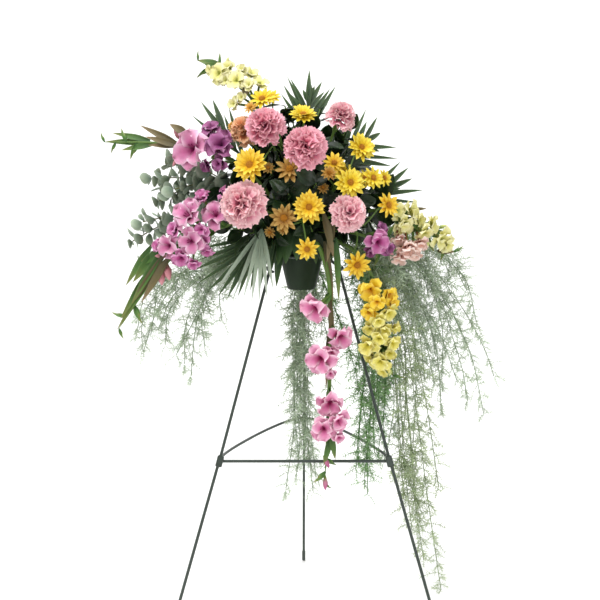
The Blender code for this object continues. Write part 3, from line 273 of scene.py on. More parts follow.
def leg_wire(top, foot):
    """A leg's wire: its foot was dipped twice, which leaves a thicker tip that is cut level on the floor."""
    fall = (foot - top).normalized()
    return [(top, wire_radius), (foot - fall * 0.029, wire_radius), (foot - fall * 0.028, 0.004),
            (foot - fall * 0.0035, 0.0041), (foot - fall * 0.0013, 0.0032)]


apex = spot(0, 0, apex_height)
joints, uppers = {}, {}
for hand, side in ((-1, "left"), (1, "right")):
    run = (spot(hand * upper_aim, -foot_front, 0) - apex).normalized()
    joint = apex + run * (sleeve_drop / -run.z)
    joints[side] = joint
    sideways = Vector((hand, 0, 0))
    sideways = (sideways - run * sideways.dot(run)).normalized()
    lap = run.cross(sideways) * hand * (wire_radius + lap_gap)
    upper = [apex + run * inside_cap + sideways * apart_in_cap, joint - lap + run * lap_overhang]
    uppers[side] = upper
    lower = leg_wire(joint + lap - run * lap_overhang, spot(hand * foot_side, -foot_front, 0))
    leg = wires("leg_wires_" + side, [gauged(upper, wire_radius), lower], 20, enamel)
    join_root(leg, "easel_wire", "leg_upper_" + side, "leg_lower_" + side)

rear_foot = spot(0, foot_rear, 0)
rear_top = apex + (rear_foot - apex).normalized() * inside_cap + Vector((0, apart_in_cap, 0))
join_root(wires("leg_wire_rear", [leg_wire(rear_top, rear_foot)], 20, enamel), "easel_wire", "leg_rear")

bar_low, bar_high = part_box("crossbar")
bar_level = (bar_low + bar_high) / 2
bar_ends = [Vector((end.x, bar_level.y, bar_level.z)) for end in (bar_low, bar_high)]
join_root(wires("crossbar_wire", [gauged(bar_ends, wire_radius)], 20, enamel), "easel_wire", "crossbar")

bow_level = 384
bow_back = (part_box("brace_bow")[1].y - easel_axis.y - wire_radius) * 1000
bow_half = [(0, bow_back), (22, 192), (53, 148), (94, 67), (132, -24), (155, -90)]
bow_points = [joints["left"] + Vector((0, reach, 0)) for reach in (0.008, 0.017)]
bow_points += [spot(-x, y, bow_level) for x, y in reversed(bow_half)]
bow_points += [spot(x, y, bow_level) for x, y in bow_half[1:]]
bow_points += [joints["right"] + Vector((0, reach, 0)) for reach in (0.017, 0.008)]
bow = wires("brace_bow_wire", [gauged(smooth_line(bow_points, 8), wire_radius)], 16, enamel)
join_root(bow, "easel_wire", "brace_bow")

for node in ("leg_clip_left", "leg_clip_right", "apex_cap"):
    solid = frame["nodes"][node]
    solid.data.materials.clear()
    solid.data.materials.append(enamel)


# Pot: a thin cone of dark green polypropylene with a rolled rim, moulded in one piece. Its cone wedges in
# the wire ring, whose two arms hook round the front legs.
pot_axis = spot(-6, -88, 0)
foot_height, rim_height, foot_radius, rim_radius = 0.712, 0.812, 0.0275, 0.050
pot_slope = (rim_radius - foot_radius) / (rim_height - foot_height)
pot_wall, seat_gap = 0.0016, 0.0006


def turned(name, outline, segments, bumps=0.0):
    """A closed solid of revolution round the pot's axis, from an outline that starts and ends on the axis."""
    shape = bmesh.new()
    rows = []
    for radius, height in outline:
        places = [Vector((radius * cos(2 * pi * k / segments), radius * sin(2 * pi * k / segments), height))
                  for k in range(segments if radius else 1)]
        rows.append([shape.verts.new(pot_axis + place * (1 + bumps * noise.noise(place * 260) / 50))
                     for place in places])
    for low, high in zip(rows, rows[1:]):
        for k in range(segments):
            after = (k + 1) % segments
            corners = [low[k % len(low)], low[after % len(low)], high[after % len(high)], high[k % len(high)]]
            shape.faces.new(list(dict.fromkeys(corners)))
    mesh = bpy.data.meshes.new(name)
    shape.to_mesh(mesh)
    shape.free()
    mesh.shade_smooth()
    mesh.set_sharp_from_angle(angle=radians(42))
    return put(name, mesh)


# Polypropylene from a worn mould: a leathery texture of 1.1 mm, coarser than a real one so that it shows,
# and faint flow marks some 22 mm long
pot_pits, pot_marks = 900.0, 45.0  # to the metre
pot_plastic, pot_tree, pot_shader = finish_of("dark_green_polypropylene", Roughness=0.48, IOR=1.49,
                                             Specular_IOR_Level=0.3)
pot_place = add(pot_tree, "ShaderNodeTexCoord").outputs["Object"]
pot_texture = add(pot_tree, "ShaderNodeTexNoise", {"Vector": pot_place, "Scale": pot_pits, "Detail": 3.0})
pot_flow = add(pot_tree, "ShaderNodeTexNoise", {"Vector": pot_place, "Scale": pot_marks, "Detail": 2.0})
pot_shade = add(pot_tree, "ShaderNodeMix",
                {"Factor": pot_flow, "A": linear("#0a1c07"), "B": linear("#142c0c")}, data_type="RGBA")
pot_tree.links.new(pot_shade.outputs[2], pot_shader.inputs["Base Color"])
pot_bump = add(pot_tree, "ShaderNodeBump", {"Strength": 0.3, "Distance": 0.0003, "Height": pot_texture})
pot_tree.links.new(pot_bump.outputs[0], pot_shader.inputs["Normal"])

cone = [(foot_radius + (height - foot_height) * pot_slope, height)
        for height in (0.716, 0.735, 0.755, 0.780, 0.806)]
rim_bead = [(0.0515, 0.8062), (0.0520, 0.8070), (0.0520, 0.8112), (0.0514, 0.8120), (0.0496, 0.8120),
            (0.0489, 0.8112), (0.0478, 0.8080)]
inside = foot_height + pot_wall
pot = turned("pot_shell", [(0, foot_height + 0.001), (0.0225, foot_height + 0.001), (0.0245, foot_height),
                           (0.0266, foot_height + 0.0004)] + cone + rim_bead
             + [(foot_radius - pot_wall + 0.0008, inside + 0.002), (foot_radius - pot_wall - 0.002, inside),
                (0, inside)], 64)
pot.data.materials.append(pot_plastic)
join_root(pot, "pot_plastic", "pot")

ring_height, hook_height, hook_gap, hook_pitch = 0.778, 0.748, 0.00105, 0.0042
ring_radius = foot_radius + (ring_height - foot_height) * pot_slope + wire_radius * 1.03 + seat_gap
ring_line = [pot_axis + Vector((ring_radius * cos(turn), ring_radius * sin(turn), ring_height))
             for turn in [2 * pi * index / 48 for index in range(48)]]
ring_lines = [gauged(ring_line + ring_line[:1], wire_radius)]
for hand, side in ((-1, "left"), (1, "right")):
    fall = (uppers[side][1] - uppers[side][0]).normalized()
    hook = uppers[side][0] + fall * ((uppers[side][0].z - hook_height) / -fall.z)
    away = Vector((hand, 0, 0))
    away = (away - fall * away.dot(fall)).normalized()
    behind = fall.cross(away) * hand
    bend = 2 * wire_radius + hook_gap
    turns = [hook + (away * cos(turn) - behind * sin(turn)) * bend + fall * (hook_pitch * turn / pi)
             for turn in [radians(degrees) for degrees in (-70, -30, 10, 50, 90, 130, 170)]]
    leave = pot_axis + Vector((hand * ring_radius * 0.94, ring_radius * 0.34, ring_height))
    arm = smooth_line([leave, leave + Vector((hand * 0.006, 0.002, -0.006))] + turns, 5)
    ring_lines.append(gauged(arm, wire_radius * 0.98))
join_root(wires("pot_ring_wire", ring_lines, 16, enamel), "easel_wire", "pot_ring")


# Foam: a block of open-celled phenolic foam, cut to the pot, pressed in and rounded off by hand. Soaked, it
# is dark green and matt. Its cells are drawn 1.4 mm wide, coarser than real ones, to show as a fine grain.
foam_cells_to_metre = 700.0
foam_green, foam_tree, foam_shader = finish_of("wet_phenolic_foam", Roughness=0.8)
foam_place = add(foam_tree, "ShaderNodeTexCoord").outputs["Object"]
foam_cells = add(foam_tree, "ShaderNodeTexVoronoi", {"Vector": foam_place, "Scale": foam_cells_to_metre})
# Darker down in each cell's pit than on its rim: painted shade in the pits
foam_pit_painted_shade = add(foam_tree, "ShaderNodeMix",
                 {"Factor": foam_cells.outputs["Distance"], "A": linear("#0f2a18"), "B": linear("#2b5836")},
                 data_type="RGBA")
foam_tree.links.new(foam_pit_painted_shade.outputs[2], foam_shader.inputs["Base Color"])
foam_bump = add(foam_tree, "ShaderNodeBump", {"Strength": 0.8, "Distance": 0.0008,
                                              "Height": foam_cells.outputs["Distance"]})
foam_tree.links.new(foam_bump.outputs[0], foam_shader.inputs["Normal"])
foam_heart = spot(-6, -88, 835)
foam_radius, dome_foot, dome_rise = 0.0455, 0.829, 0.051
dome = [(foam_radius * cos(radians(step)), dome_foot + dome_rise * sin(radians(step)))
        for step in range(0, 90, 9)]
foam = turned("foam_block", [(0, 0.716), (0.0245, 0.716), (0.0462, 0.8123)] + dome + [(0, 0.880)], 48,
              bumps=0.35)
foam.data.materials.append(foam_green)
join_root(foam, "wet_foam", "foam")


# Carnations: a ball of some forty fringed petals bursts from a swollen green cup on a slim, waxy stem with
# fine ribs. The petals are soft and matt, deeper pink at the heart and paler along the crumpled edge.
def planted(heading):
    """The first places of a stem, straight out of its hole in the foam."""
    heading = Vector(heading).normalized()
    return [foam_heart + heading * reach for reach in (foam_radius - 0.019, 0.046, 0.058)]


def line_length(line):
    """The length of a line."""
    return sum((after - before).length for before, after in zip(line, line[1:]))


def at(line, distance):
    """Place and direction at a distance along a line."""
    for before, after in zip(line, line[1:]):
        step = after - before
        if distance <= step.length or after is line[-1]:
            return before + step * (distance / step.length), step.normalized()
        distance -= step.length


def tissue(name, places, faces, along_of):
    """The mesh of a living part, each place marked with how far along the part it lies, for its colours."""
    mesh = bpy.data.meshes.new(name)
    mesh.from_pydata(places, [], faces)
    mesh.attributes.new("along", "FLOAT", "POINT").data.foreach_set("value", along_of)
    return mesh


def blank(name, columns, rows, thickness, surface):
    """A petal or leaf that grows along +X and looks up +Z, closed at its rim. surface(across, along) gives
    its places, with across from -1 to 1 and along from 0 to 1, and a step past them for the slope."""
    step = 0.02
    places, across_of, along_of, number = [], [], [], {}
    for side in (-1, 1):
        for row in range(rows + 1):
            for column in range(columns + 1):
                rim = row in (0, rows) or column in (0, columns)
                if rim and side == 1:
                    number[side, row, column] = number[-1, row, column]
                    continue
                across, along = 2 * column / columns - 1, row / rows
                place = surface(across, along)
                if not rim:
                    normal = (surface(across, along + step) - surface(across, along - step)).cross(
                        surface(across + step, along) - surface(across - step, along))
                    place = place + normal.normalized() * (side * thickness / 2)
                number[side, row, column] = len(places)
                places.append(place)
                across_of.append(across)
                along_of.append(along)
    faces = []
    for row in range(rows):
        for column in range(columns):
            corners = [(row, column), (row + 1, column), (row + 1, column + 1), (row, column + 1)]
            faces.append([number[1, r, c] for r, c in corners])
            faces.append([number[-1, r, c] for r, c in reversed(corners)])
    mesh = tissue(name, places, faces, along_of)
    mesh.attributes.new("across", "FLOAT", "POINT").data.foreach_set("value", across_of)
    mesh.shade_smooth()
    mesh.set_sharp_from_angle(angle=radians(70))
    return mesh


def living(name, base, middle, edge, rough, ribs, bump, mottle=0.12, margin=None):
    """Petal or leaf tissue: its colour runs from base to edge along it, and to the margin's at its sides,
    with fine ribs and mottling in clouds some 7 mm wide."""
    clouds = 140.0  # to the metre
    material, tree, shader = finish_of(name, Roughness=rough, Specular_IOR_Level=0.35, Subsurface_Weight=0.08,
                                       Subsurface_Radius=(0.004, 0.003, 0.002), Subsurface_Scale=1.0)
    along = add(tree, "ShaderNodeAttribute", attribute_name="along").outputs["Fac"]
    across = add(tree, "ShaderNodeAttribute", attribute_name="across").outputs["Fac"]
    tint = add(tree, "ShaderNodeAttribute", attribute_name="tint").outputs["Fac"]
    place = add(tree, "ShaderNodeTexCoord").outputs["Object"]
    ramp = add(tree, "ShaderNodeValToRGB", {"Fac": along})
    stops = ramp.color_ramp.elements
    stops[0].color, stops[1].color = linear(base[1]), linear(edge)
    stops[0].position = base[0]
    stops.new(middle[0]).color = linear(middle[1])
    colour = ramp.outputs["Color"]
    if margin:
        sideways = add(tree, "ShaderNodeMath", {0: across}, operation="ABSOLUTE")
        sideways = add(tree, "ShaderNodeMath", {0: sideways, 1: 2.5}, operation="POWER")
        sideways = add(tree, "ShaderNodeMath", {0: sideways, 1: margin[0]}, operation="MULTIPLY")
        colour = add(tree, "ShaderNodeMix", {"Factor": sideways, "A": colour, "B": linear(margin[1])},
                     data_type="RGBA").outputs[2]
    cloud = add(tree, "ShaderNodeTexNoise", {"Vector": place, "Scale": clouds, "Detail": 3.0})
    share = add(tree, "ShaderNodeMath", {0: cloud, 1: tint}, operation="ADD")
    value = add(tree, "ShaderNodeMapRange", {"Value": share, "From Min": 0.2, "From Max": 1.6,
                                             "To Min": 1.0 - mottle, "To Max": 1.0 + mottle})
    shade = add(tree, "ShaderNodeHueSaturation", {"Value": value, "Color": colour})
    tree.links.new(shade.outputs[0], shader.inputs["Base Color"])
    rib = add(tree, "ShaderNodeMath", {0: across, 1: ribs}, operation="MULTIPLY")
    rib = add(tree, "ShaderNodeMath", {0: rib}, operation="COSINE")
    raised = add(tree, "ShaderNodeBump", {"Strength": bump, "Distance": 0.0004, "Height": rib})
    tree.links.new(raised.outputs[0], shader.inputs["Normal"])
    return material


stem_green = living("fresh_green_stem", (0.0, "#5c7a35"), (0.5, "#6f8c40"), "#87a052", 0.45, 30.0, 0.2)


def stems(name, lines, sides, finish, *nodes):
    """Round stems along their lines, as one piece."""
    join_root(wires(name, lines, sides, finish), "stem_green", *nodes)


def from_tray(name, mesh, tree, parts, finish, values):
    """Lay loose parts in a tray, run a tree that takes them from it, and clear the tray away."""
    tray = bpy.data.collections.new("tray")
    for index, part in enumerate(parts):
        tray.objects.link(bpy.data.objects.new(f"part_{index:03d}", part))
    values = {key.replace("_", " "): value for key, value in values.items()}
    item = run_tree(put(name, mesh), tree, {"Parts": tray, "Finish": finish, **values})
    for part in list(tray.objects):
        bpy.data.objects.remove(part)
    bpy.data.collections.remove(tray)
    return item


def wobbling(tree, ask, turns):
    """Three turns of an instance, each with a random swing of its own."""
    swing = add(tree, "ShaderNodeMath", {0: ask["Wobble"], 1: -1.0}, operation="MULTIPLY")
    swung = []
    for number, turn in enumerate(turns):
        draw_seed = add(tree, "FunctionNodeIntegerMath", {0: ask["Seed"], 1: number}, operation="ADD")
        draw = add(tree, "FunctionNodeRandomValue", {"Min": swing, "Max": ask["Wobble"], "Seed": draw_seed},
                   data_type="FLOAT")
        if turn is not None:
            draw = add(tree, "ShaderNodeMath", {0: draw, 1: turn}, operation="ADD")
        swung.append(draw)
    return swung


def end_with_parts(tree, ask, out, points, turn, size):
    """The tree ends with one of the parts on each point, picked at random, each with a tint of its own."""
    parts = add(tree, "GeometryNodeCollectionInfo",
                {"Collection": ask["Parts"], "Separate Children": True, "Reset Children": True})
    pick = add(tree, "FunctionNodeRandomValue", {"Min": 0, "Max": 99, "Seed": ask["Seed"]}, data_type="INT")
    laid = add(tree, "GeometryNodeInstanceOnPoints", {
        "Points": points, "Instance": parts, "Pick Instance": True, "Instance Index": pick, "Rotation": turn,
        "Scale": size})
    tint = add(tree, "FunctionNodeRandomValue", {"Min": 0.0, "Max": 1.0}, data_type="FLOAT")
    laid = add(tree, "GeometryNodeStoreNamedAttribute", {"Geometry": laid, "Name": "tint", "Value": tint},
               data_type="FLOAT", domain="INSTANCE")
    end_tree(tree, out, laid, ask["Finish"])


# Each row turns and lifts its petals, from the outermost row to the heart
bloom_tree, given, out = group_tree("petals in rows", [
    ("Parts", "Collection"), ("Rows", "Int"), ("Per row", "Int"), ("Row turn", "Float"),
    ("Row rise", "Float"), ("Outer lift", "Float"), ("Inner lift", "Float"), ("Inner size", "Float"),
    ("Wobble", "Float"), ("Seed", "Int"), ("Finish", "Material")])
ask = given.outputs
petal_count = add(bloom_tree, "FunctionNodeIntegerMath", {0: ask["Rows"], 1: ask["Per row"]},
                  operation="MULTIPLY")
petal_number = add(bloom_tree, "GeometryNodeInputIndex")
petal_row = add(bloom_tree, "FunctionNodeIntegerMath", {0: petal_number, 1: ask["Per row"]},
                operation="DIVIDE")
last_row = add(bloom_tree, "ShaderNodeMath", {0: ask["Rows"], 1: 1.001}, operation="SUBTRACT")
inward = add(bloom_tree, "ShaderNodeMath", {0: petal_row, 1: last_row}, operation="DIVIDE")
petal_height = add(bloom_tree, "ShaderNodeMath", {0: petal_row, 1: ask["Row rise"]}, operation="MULTIPLY")
petal_place = add(bloom_tree, "ShaderNodeCombineXYZ", {"Z": petal_height})
petal_points = add(bloom_tree, "GeometryNodePoints", {"Count": petal_count, "Position": petal_place})
row_angle = add(bloom_tree, "ShaderNodeMath", {0: petal_row, 1: ask["Row turn"]}, operation="MULTIPLY")
petal_step = add(bloom_tree, "ShaderNodeMath", {0: 2 * pi, 1: ask["Per row"]}, operation="DIVIDE")
petal_angle = add(bloom_tree, "ShaderNodeMath", {0: petal_number, 1: petal_step, 2: row_angle},
                  operation="MULTIPLY_ADD")
petal_lift = add(bloom_tree, "ShaderNodeMapRange", {"Value": inward, "To Min": ask["Outer lift"],
                                                    "To Max": ask["Inner lift"]})
petal_size = add(bloom_tree, "ShaderNodeMapRange",
                 {"Value": inward, "To Min": 1.0, "To Max": ask["Inner size"]})
petal_roll, petal_lift, petal_angle = wobbling(bloom_tree, ask, (None, petal_lift, petal_angle))
lift_down = add(bloom_tree, "ShaderNodeMath", {0: petal_lift, 1: -1.0}, operation="MULTIPLY")
petal_euler = add(bloom_tree, "ShaderNodeCombineXYZ", {"X": petal_roll, "Y": lift_down, "Z": petal_angle})
petal_turn = add(bloom_tree, "FunctionNodeEulerToRotation", {"Euler": petal_euler})
size_seed = add(bloom_tree, "FunctionNodeIntegerMath", {0: ask["Seed"], 1: 7}, operation="ADD")
size_draw = add(bloom_tree, "FunctionNodeRandomValue", {"Min": 0.93, "Max": 1.05, "Seed": size_seed},
                data_type="FLOAT")
petal_scale = add(bloom_tree, "ShaderNodeMath", {0: petal_size, 1: size_draw}, operation="MULTIPLY")
end_with_parts(bloom_tree, ask, out, petal_points, petal_turn, petal_scale)


def seated(place, tilt, spin=0.0):
    """The matrix that makes a bloom, built up +Z, look the given way from its seat."""
    turn = Vector(tilt).to_track_quat("Z", "Y") @ Quaternion((0, 0, 1), spin)
    return Matrix.Translation(place) @ turn.to_matrix().to_4x4()


def blossom(name, petals, finish, **values):
    """One bloom of these petals at the origin, looking up +Z."""
    return from_tray(name, bpy.data.meshes.new(name), bloom_tree, petals, finish, values)


carnation_pink = living("carnation_rose_pink", (0.15, "#aa4068"), (0.7, "#da8299"), "#f0b6c0", 0.62, 46.0,
                        0.35, 0.14)
carnation_pale = living("carnation_shell_pink", (0.15, "#bf5f80"), (0.7, "#e79fb1"), "#f7cfd0", 0.62, 46.0,
                        0.35, 0.14)
carnation_peach = living("carnation_peach_pink", (0.15, "#bc6c48"), (0.7, "#e2a276"), "#f2c69c", 0.62, 46.0,
                         0.35, 0.10)


def carnation_petal(radius, dice):
    """A fan-shaped petal, crumpled towards its fringed edge."""
    waves = [(dice.uniform(4, 7), dice.uniform(0, 6.3), 0.14),
             (dice.uniform(10, 14), dice.uniform(0, 6.3), 0.04)]

    def surface(across, along):
        reach = radius * (0.07 + 0.93 * along) * (1 + 0.035 * along ** 6 * cos(25.13 * across))
        angle = across * (0.20 + 0.44 * max(along, 0) ** 0.8)
        ruffle = sum(height * sin(rate * across + phase) for rate, phase, height in waves)
        rise = radius * (ruffle * max(along, 0) ** 2.2 - 0.10 * along ** 3)
        return Vector((reach * cos(angle), reach * sin(angle), rise))
    return blank("carnation_petal", 16, 7, 0.0005, surface)


golden_turn = 2.39996
cup_profile = ((0.027, 0.0026), (0.024, 0.0042), (0.020, 0.0056), (0.012, 0.0064), (0.004, 0.0062),
               (0, 0.0058))
carnation_stems, carnation_nodes = [], []
carnations = (
    ("top_left", (-74, -180, 1026), 77, (-0.25, -0.75, 0.55), (-0.064, -0.092, 0.186), carnation_pink),
    ("top_front", (0, -250, 988), 82, (0.05, -0.92, 0.35), (0.006, -0.162, 0.146), carnation_pink),
    ("left", (-114, -240, 884), 87, (-0.35, -0.92, 0.05), (-0.104, -0.152, 0.049), carnation_pale),
    ("right", (80, -240, 868), 69, (0.35, -0.9, 0.1), (0.08, -0.152, 0.033), carnation_pale),
    ("top_right", (68, -140, 1044), 60, (0.35, -0.45, 0.8), (0.074, -0.052, 0.205), carnation_pale),
    ("back_left", (-114, -124, 1018), 60, (-0.45, -0.6, 0.66), (-0.103, -0.032, 0.168), carnation_peach))
for seed, (name, place, diameter, tilt, heading, finish) in enumerate(carnations, 1):
    dice = Random(seed)
    radius = diameter / 2000
    tilt = Vector(tilt).normalized()
    seat = spot(*place) - tilt * (0.35 * radius)
    petals = [carnation_petal(radius, dice) for _ in range(4)]
    head = blossom("carnation_" + name + "_petals", petals, finish, Rows=40, Per_row=1, Row_turn=golden_turn,
                   Row_rise=0.00028, Outer_lift=0.04, Inner_lift=1.42, Inner_size=0.90, Wobble=0.22,
                   Seed=seed)
    head.data.transform(seated(seat, tilt))
    join_root(head, "carnation_petal", "carnation_" + name + "_head")
    line = smooth_line(planted(heading) + [seat - tilt * 0.030, seat])
    total = line_length(line)
    carnation_stems.append([(at(line, total * share / 12)[0], 0.0023) for share in range(10)] + [
        (at(line, total - below)[0], thick) for below, thick in cup_profile])
    carnation_nodes.append("carnation_" + name + "_stem")
stems("carnation_stems_and_cups", carnation_stems, 16, stem_green, *carnation_nodes)


# Daisies: button chrysanthemums, with pointed golden petals in two or three rows round a domed orange eye of
# tiny florets. Several heads share one branched stem, and small young ones open between them. The petals are
# satin, darker at the root and grooved along.
gather_tree, given, out = group_tree("loose parts as one", [("Parts", "Collection"), ("Finish", "Material")])
gathered = add(gather_tree, "GeometryNodeCollectionInfo", {"Collection": given.outputs["Parts"]})
end_tree(gather_tree, out, gathered, given.outputs["Finish"])


def gather(name, meshes, finish):
    """Loose parts as one piece."""
    return from_tray(name, bpy.data.meshes.new(name), gather_tree, meshes, finish, {})


daisy_gold = living("daisy_golden_yellow", (0.0, "#c8800f"), (0.45, "#e8b820"), "#f5d852", 0.5, 14.0, 0.5,
                    0.08)
# Shaded bronze: the golden petals darkened to bronze, painted shade for heads that sit deep in the spray
daisy_painted_shade = living("daisy_petal_bronze_painted_shade", (0.0, "#74451a"), (0.45, "#a5772f"), "#cba85e", 0.5, 14.0, 0.5,
                      0.10)
daisy_amber = living("daisy_amber", (0.0, "#a8601a"), (0.45, "#d69a3a"), "#e8bf6a", 0.5, 14.0, 0.5, 0.10)
daisy_lemon = living("daisy_lemon_yellow", (0.0, "#c8920f"), (0.45, "#e9c822"), "#f7e45c", 0.5, 14.0, 0.5,
                     0.08)
daisy_eye = living("daisy_orange_eye", (0.0, "#7a430c"), (0.5, "#b87416"), "#dba534", 0.7, 1.0, 0.1, 0.15)


def daisy_petal(length, width, dice):
    """A strap of a petal: pointed, grooved, and bent up or down."""
    bend = dice.uniform(-0.10, 0.06)

    def surface(across, along):
        share = min(max(along, 0.0), 1.0)
        half = width * (0.32 + 0.68 * sin(pi * share ** 0.8) ** 0.8 if share < 0.45 else
                        max(1 - ((share - 0.45) / 0.55) ** 2.2, 0.0) ** 0.8 + 0.02)
        groove = 0.10 * half * cos(across * 2 * pi)
        return Vector((length * (0.12 + 0.88 * along), half * across,
                       length * (0.14 * along + bend * along ** 2) + groove + 0.25 * half * across ** 2))
    return blank("daisy_petal", 6, 7, 0.0006, surface)


def daisy_centre(radius):
    """A dome of tiny florets in a spiral, each a small pointed bud."""
    places, faces, along_of = [], [], []
    count, size = 70, radius * 0.17
    for index in range(count):
        share = (index + 0.5) / count
        out = radius * share ** 0.5
        turn = index * golden_turn
        middle = Vector((out * cos(turn), out * sin(turn), radius * (0.62 - 0.50 * share)))
        up = Vector((out * cos(turn) * 0.9, out * sin(turn) * 0.9, radius)).normalized()
        side = up.orthogonal().normalized()
        start = len(places)
        for k in range(5):
            places.append(middle + Quaternion(up, 2 * pi * k / 5) @ side * size)
        places += [middle + up * size * 1.3, middle - up * size * 1.5]
        along_of += [0.2] * 5 + [1.0, 0.0]
        for k in range(5):
            after = (k + 1) % 5
            faces += [(start + k, start + after, start + 5), (start + after, start + k, start + 6)]
    mesh = tissue("eye", places, faces, along_of)
    mesh.shade_smooth()
    return mesh


daisy_sprays = (
    ("top", (-0.03, -0.05, 0.17), (-36, -125, 965),
     (("top_left", (-98, -250, 954), 68, (-0.25, -0.9, 0.3), 2, daisy_gold),
      ("top_shaded", (-28, -190, 946), 59, (-0.05, -0.85, 0.45), 1, daisy_painted_shade),
      ("top_front", (-3, -160, 1045), 56, (0.05, -0.55, 0.8), 2, daisy_lemon),
      ("top_back", (-80, -130, 1076), 53, (-0.15, -0.75, 0.6), 1, daisy_lemon),
      ("young_high", (-102, -140, 1060), 27, (-0.3, -0.8, 0.5), 1, daisy_amber),
      ("young_left", (-139, -120, 1026), 22, (-0.6, -0.7, 0.3), 1, daisy_amber),
      ("young_top", (-62, -110, 1080), 38, (-0.05, -0.75, 0.66), 1, daisy_lemon),
      ("young_shaded", (-68, -170, 948), 26, (-0.1, -0.9, 0.4), 1, daisy_painted_shade),
      ("young_middle", (33, -190, 912), 26, (0.2, -0.85, 0.4), 1, daisy_painted_shade))),
    ("front", (0.006, -0.152, 0.02), (-4, -180, 850),
     (("front", (7, -260, 880), 61, (0.0, -0.98, 0.1), 2, daisy_gold),
      ("front_shaded", (-38, -220, 858), 58, (-0.15, -0.95, 0.0), 1, daisy_painted_shade),
      ("front_low", (4, -230, 802), 47, (0.0, -0.97, -0.15), 1, daisy_gold),
      ("young_low", (-40, -205, 836), 24, (-0.3, -0.9, -0.2), 1, daisy_painted_shade),
      ("young_outer_low", (-65, -190, 830), 26, (-0.4, -0.88, -0.1), 1, daisy_painted_shade))),
    ("right", (0.086, -0.096, 0.112), (62, -150, 915),
     (("right_high", (104, -170, 985), 59, (0.35, -0.8, 0.4), 2, daisy_lemon),
      ("right_middle", (81, -230, 922), 61, (0.25, -0.92, 0.2), 2, daisy_lemon),
      ("right_outer", (125, -200, 930), 48, (0.5, -0.8, 0.25), 1, daisy_lemon),
      ("right_inner", (54, -180, 957), 47, (0.15, -0.85, 0.45), 1, daisy_gold),
      ("young_right", (69, -170, 940), 46, (0.2, -0.85, 0.45), 1, daisy_lemon),
      ("young_between", (112, -165, 929), 42, (0.35, -0.8, 0.45), 1, daisy_lemon),
      ("young_outer", (149, -150, 929), 38, (0.55, -0.78, 0.3), 1, daisy_lemon),
      ("young_inner", (44, -200, 939), 32, (0.1, -0.9, 0.4), 1, daisy_amber))),
    ("side", (0.136, -0.112, 0.005), (85, -160, 836),
     (("side_high", (154, -190, 880), 50, (0.5, -0.82, 0.15), 1, daisy_gold),
      ("side_low", (96, -210, 771), 55, (0.3, -0.93, -0.1), 1, daisy_gold))))
seed = 10
for spray, heading, fork, heads in daisy_sprays:
    fork = spot(*fork)
    trunk = smooth_line(planted(heading) + [fork])
    onward = (trunk[-1] - trunk[-2]).normalized()
    spray_lines = [gauged(trunk, 0.0018)]
    for number, (name, place, diameter, tilt, layers, finish) in enumerate(heads):
        seed += 1
        dice = Random(seed)
        radius = diameter / 2000
        tilt = Vector(tilt).normalized()
        seat = spot(*place) - tilt * 0.002
        petals = [daisy_petal(radius * dice.uniform(0.94, 1.03), radius * 0.155, dice) for _ in range(4)]
        head = blossom("daisy_" + name + "_petals", petals, finish, Rows=layers + 1,
                       Per_row=13 if layers == 2 else 10, Row_turn=0.24, Row_rise=0.0012, Outer_lift=0.0,
                       Inner_lift=0.22 * layers, Inner_size=0.80, Wobble=0.09, Seed=seed)
        head.data.transform(seated(seat, tilt, dice.uniform(0, 1)))
        join_root(head, "daisy_petal", *([] if name.startswith("young") else ["daisy_" + name]))
        eye = gather("daisy_" + name + "_eye", [daisy_centre(radius * 0.22)], daisy_eye)
        eye.data.transform(seated(seat + tilt * (0.0022 + 0.001 * layers), tilt))
        join_root(eye, "daisy_petal")
        start = fork - onward * (0.005 + 0.004 * number)
        reach = (seat - start).length
        branch = smooth_line([start, start + onward * reach * 0.25 + (seat - start) * 0.15,
                              seat - tilt * reach * 0.25, seat - tilt * 0.006, seat])
        disc = 0.19 * radius
        spray_lines.append(gauged(branch[:-10], 0.0015) + [
            (branch[-9], 0.0022), (branch[-6], disc * 0.75), (branch[-3], disc * 0.98),
            (branch[-1], disc * 0.85)])
    stems("daisy_stems_" + spray, spray_lines, 12, stem_green, "daisy_stem_" + spray)


# Gladioli: a stout spike, with two ranks of ruffled funnel flowers that open from the bottom and dwindle to
# sheathed buds at the tip. Each flower has six silky tepals, a marked throat, stamens and two green spathes.
# Leaves, buds and side shoots stand at even steps along a stem, from its bare part to the tip.
shoot_tree, given, out = group_tree("shoots along a stem", [
    ("Parts", "Collection"), ("Bare", "Float"), ("Spacing", "Float"), ("Per node", "Int"), ("Turn", "Float"),
    ("First turn", "Float"), ("Lift", "Float"), ("Wobble", "Float"), ("Root size", "Float"),
    ("Tip size", "Float"), ("Vary", "Float"), ("Seed", "Int"), ("Finish", "Material")])
ask = given.outputs
shoot_line = add(shoot_tree, "GeometryNodeMeshToCurve", {"Mesh": ask["Geometry"]})
shoot_line = add(shoot_tree, "GeometryNodeTrimCurve", {"Curve": shoot_line, "Start": ask["Bare"], "End": 9.0},
                 mode="LENGTH")
stem_reach = add(shoot_tree, "GeometryNodeSplineParameter")
shoot_line = add(shoot_tree, "GeometryNodeStoreNamedAttribute",
                 {"Geometry": shoot_line, "Name": "reach", "Value": stem_reach}, data_type="FLOAT",
                 domain="POINT")
nodes_of_stem = add(shoot_tree, "GeometryNodeCurveToPoints", {"Curve": shoot_line, "Length": ask["Spacing"]},
                    mode="LENGTH")
node_number = add(shoot_tree, "GeometryNodeInputIndex")
numbered = add(shoot_tree, "GeometryNodeStoreNamedAttribute",
               {"Geometry": nodes_of_stem.outputs["Points"], "Name": "node", "Value": node_number},
               data_type="INT", domain="POINT")
twins = add(shoot_tree, "GeometryNodeDuplicateElements", {"Geometry": numbered, "Amount": ask["Per node"]},
            domain="POINT")
reach_here = add(shoot_tree, "GeometryNodeInputNamedAttribute", {"Name": "reach"}, data_type="FLOAT")
node_here = add(shoot_tree, "GeometryNodeInputNamedAttribute", {"Name": "node"}, data_type="INT")
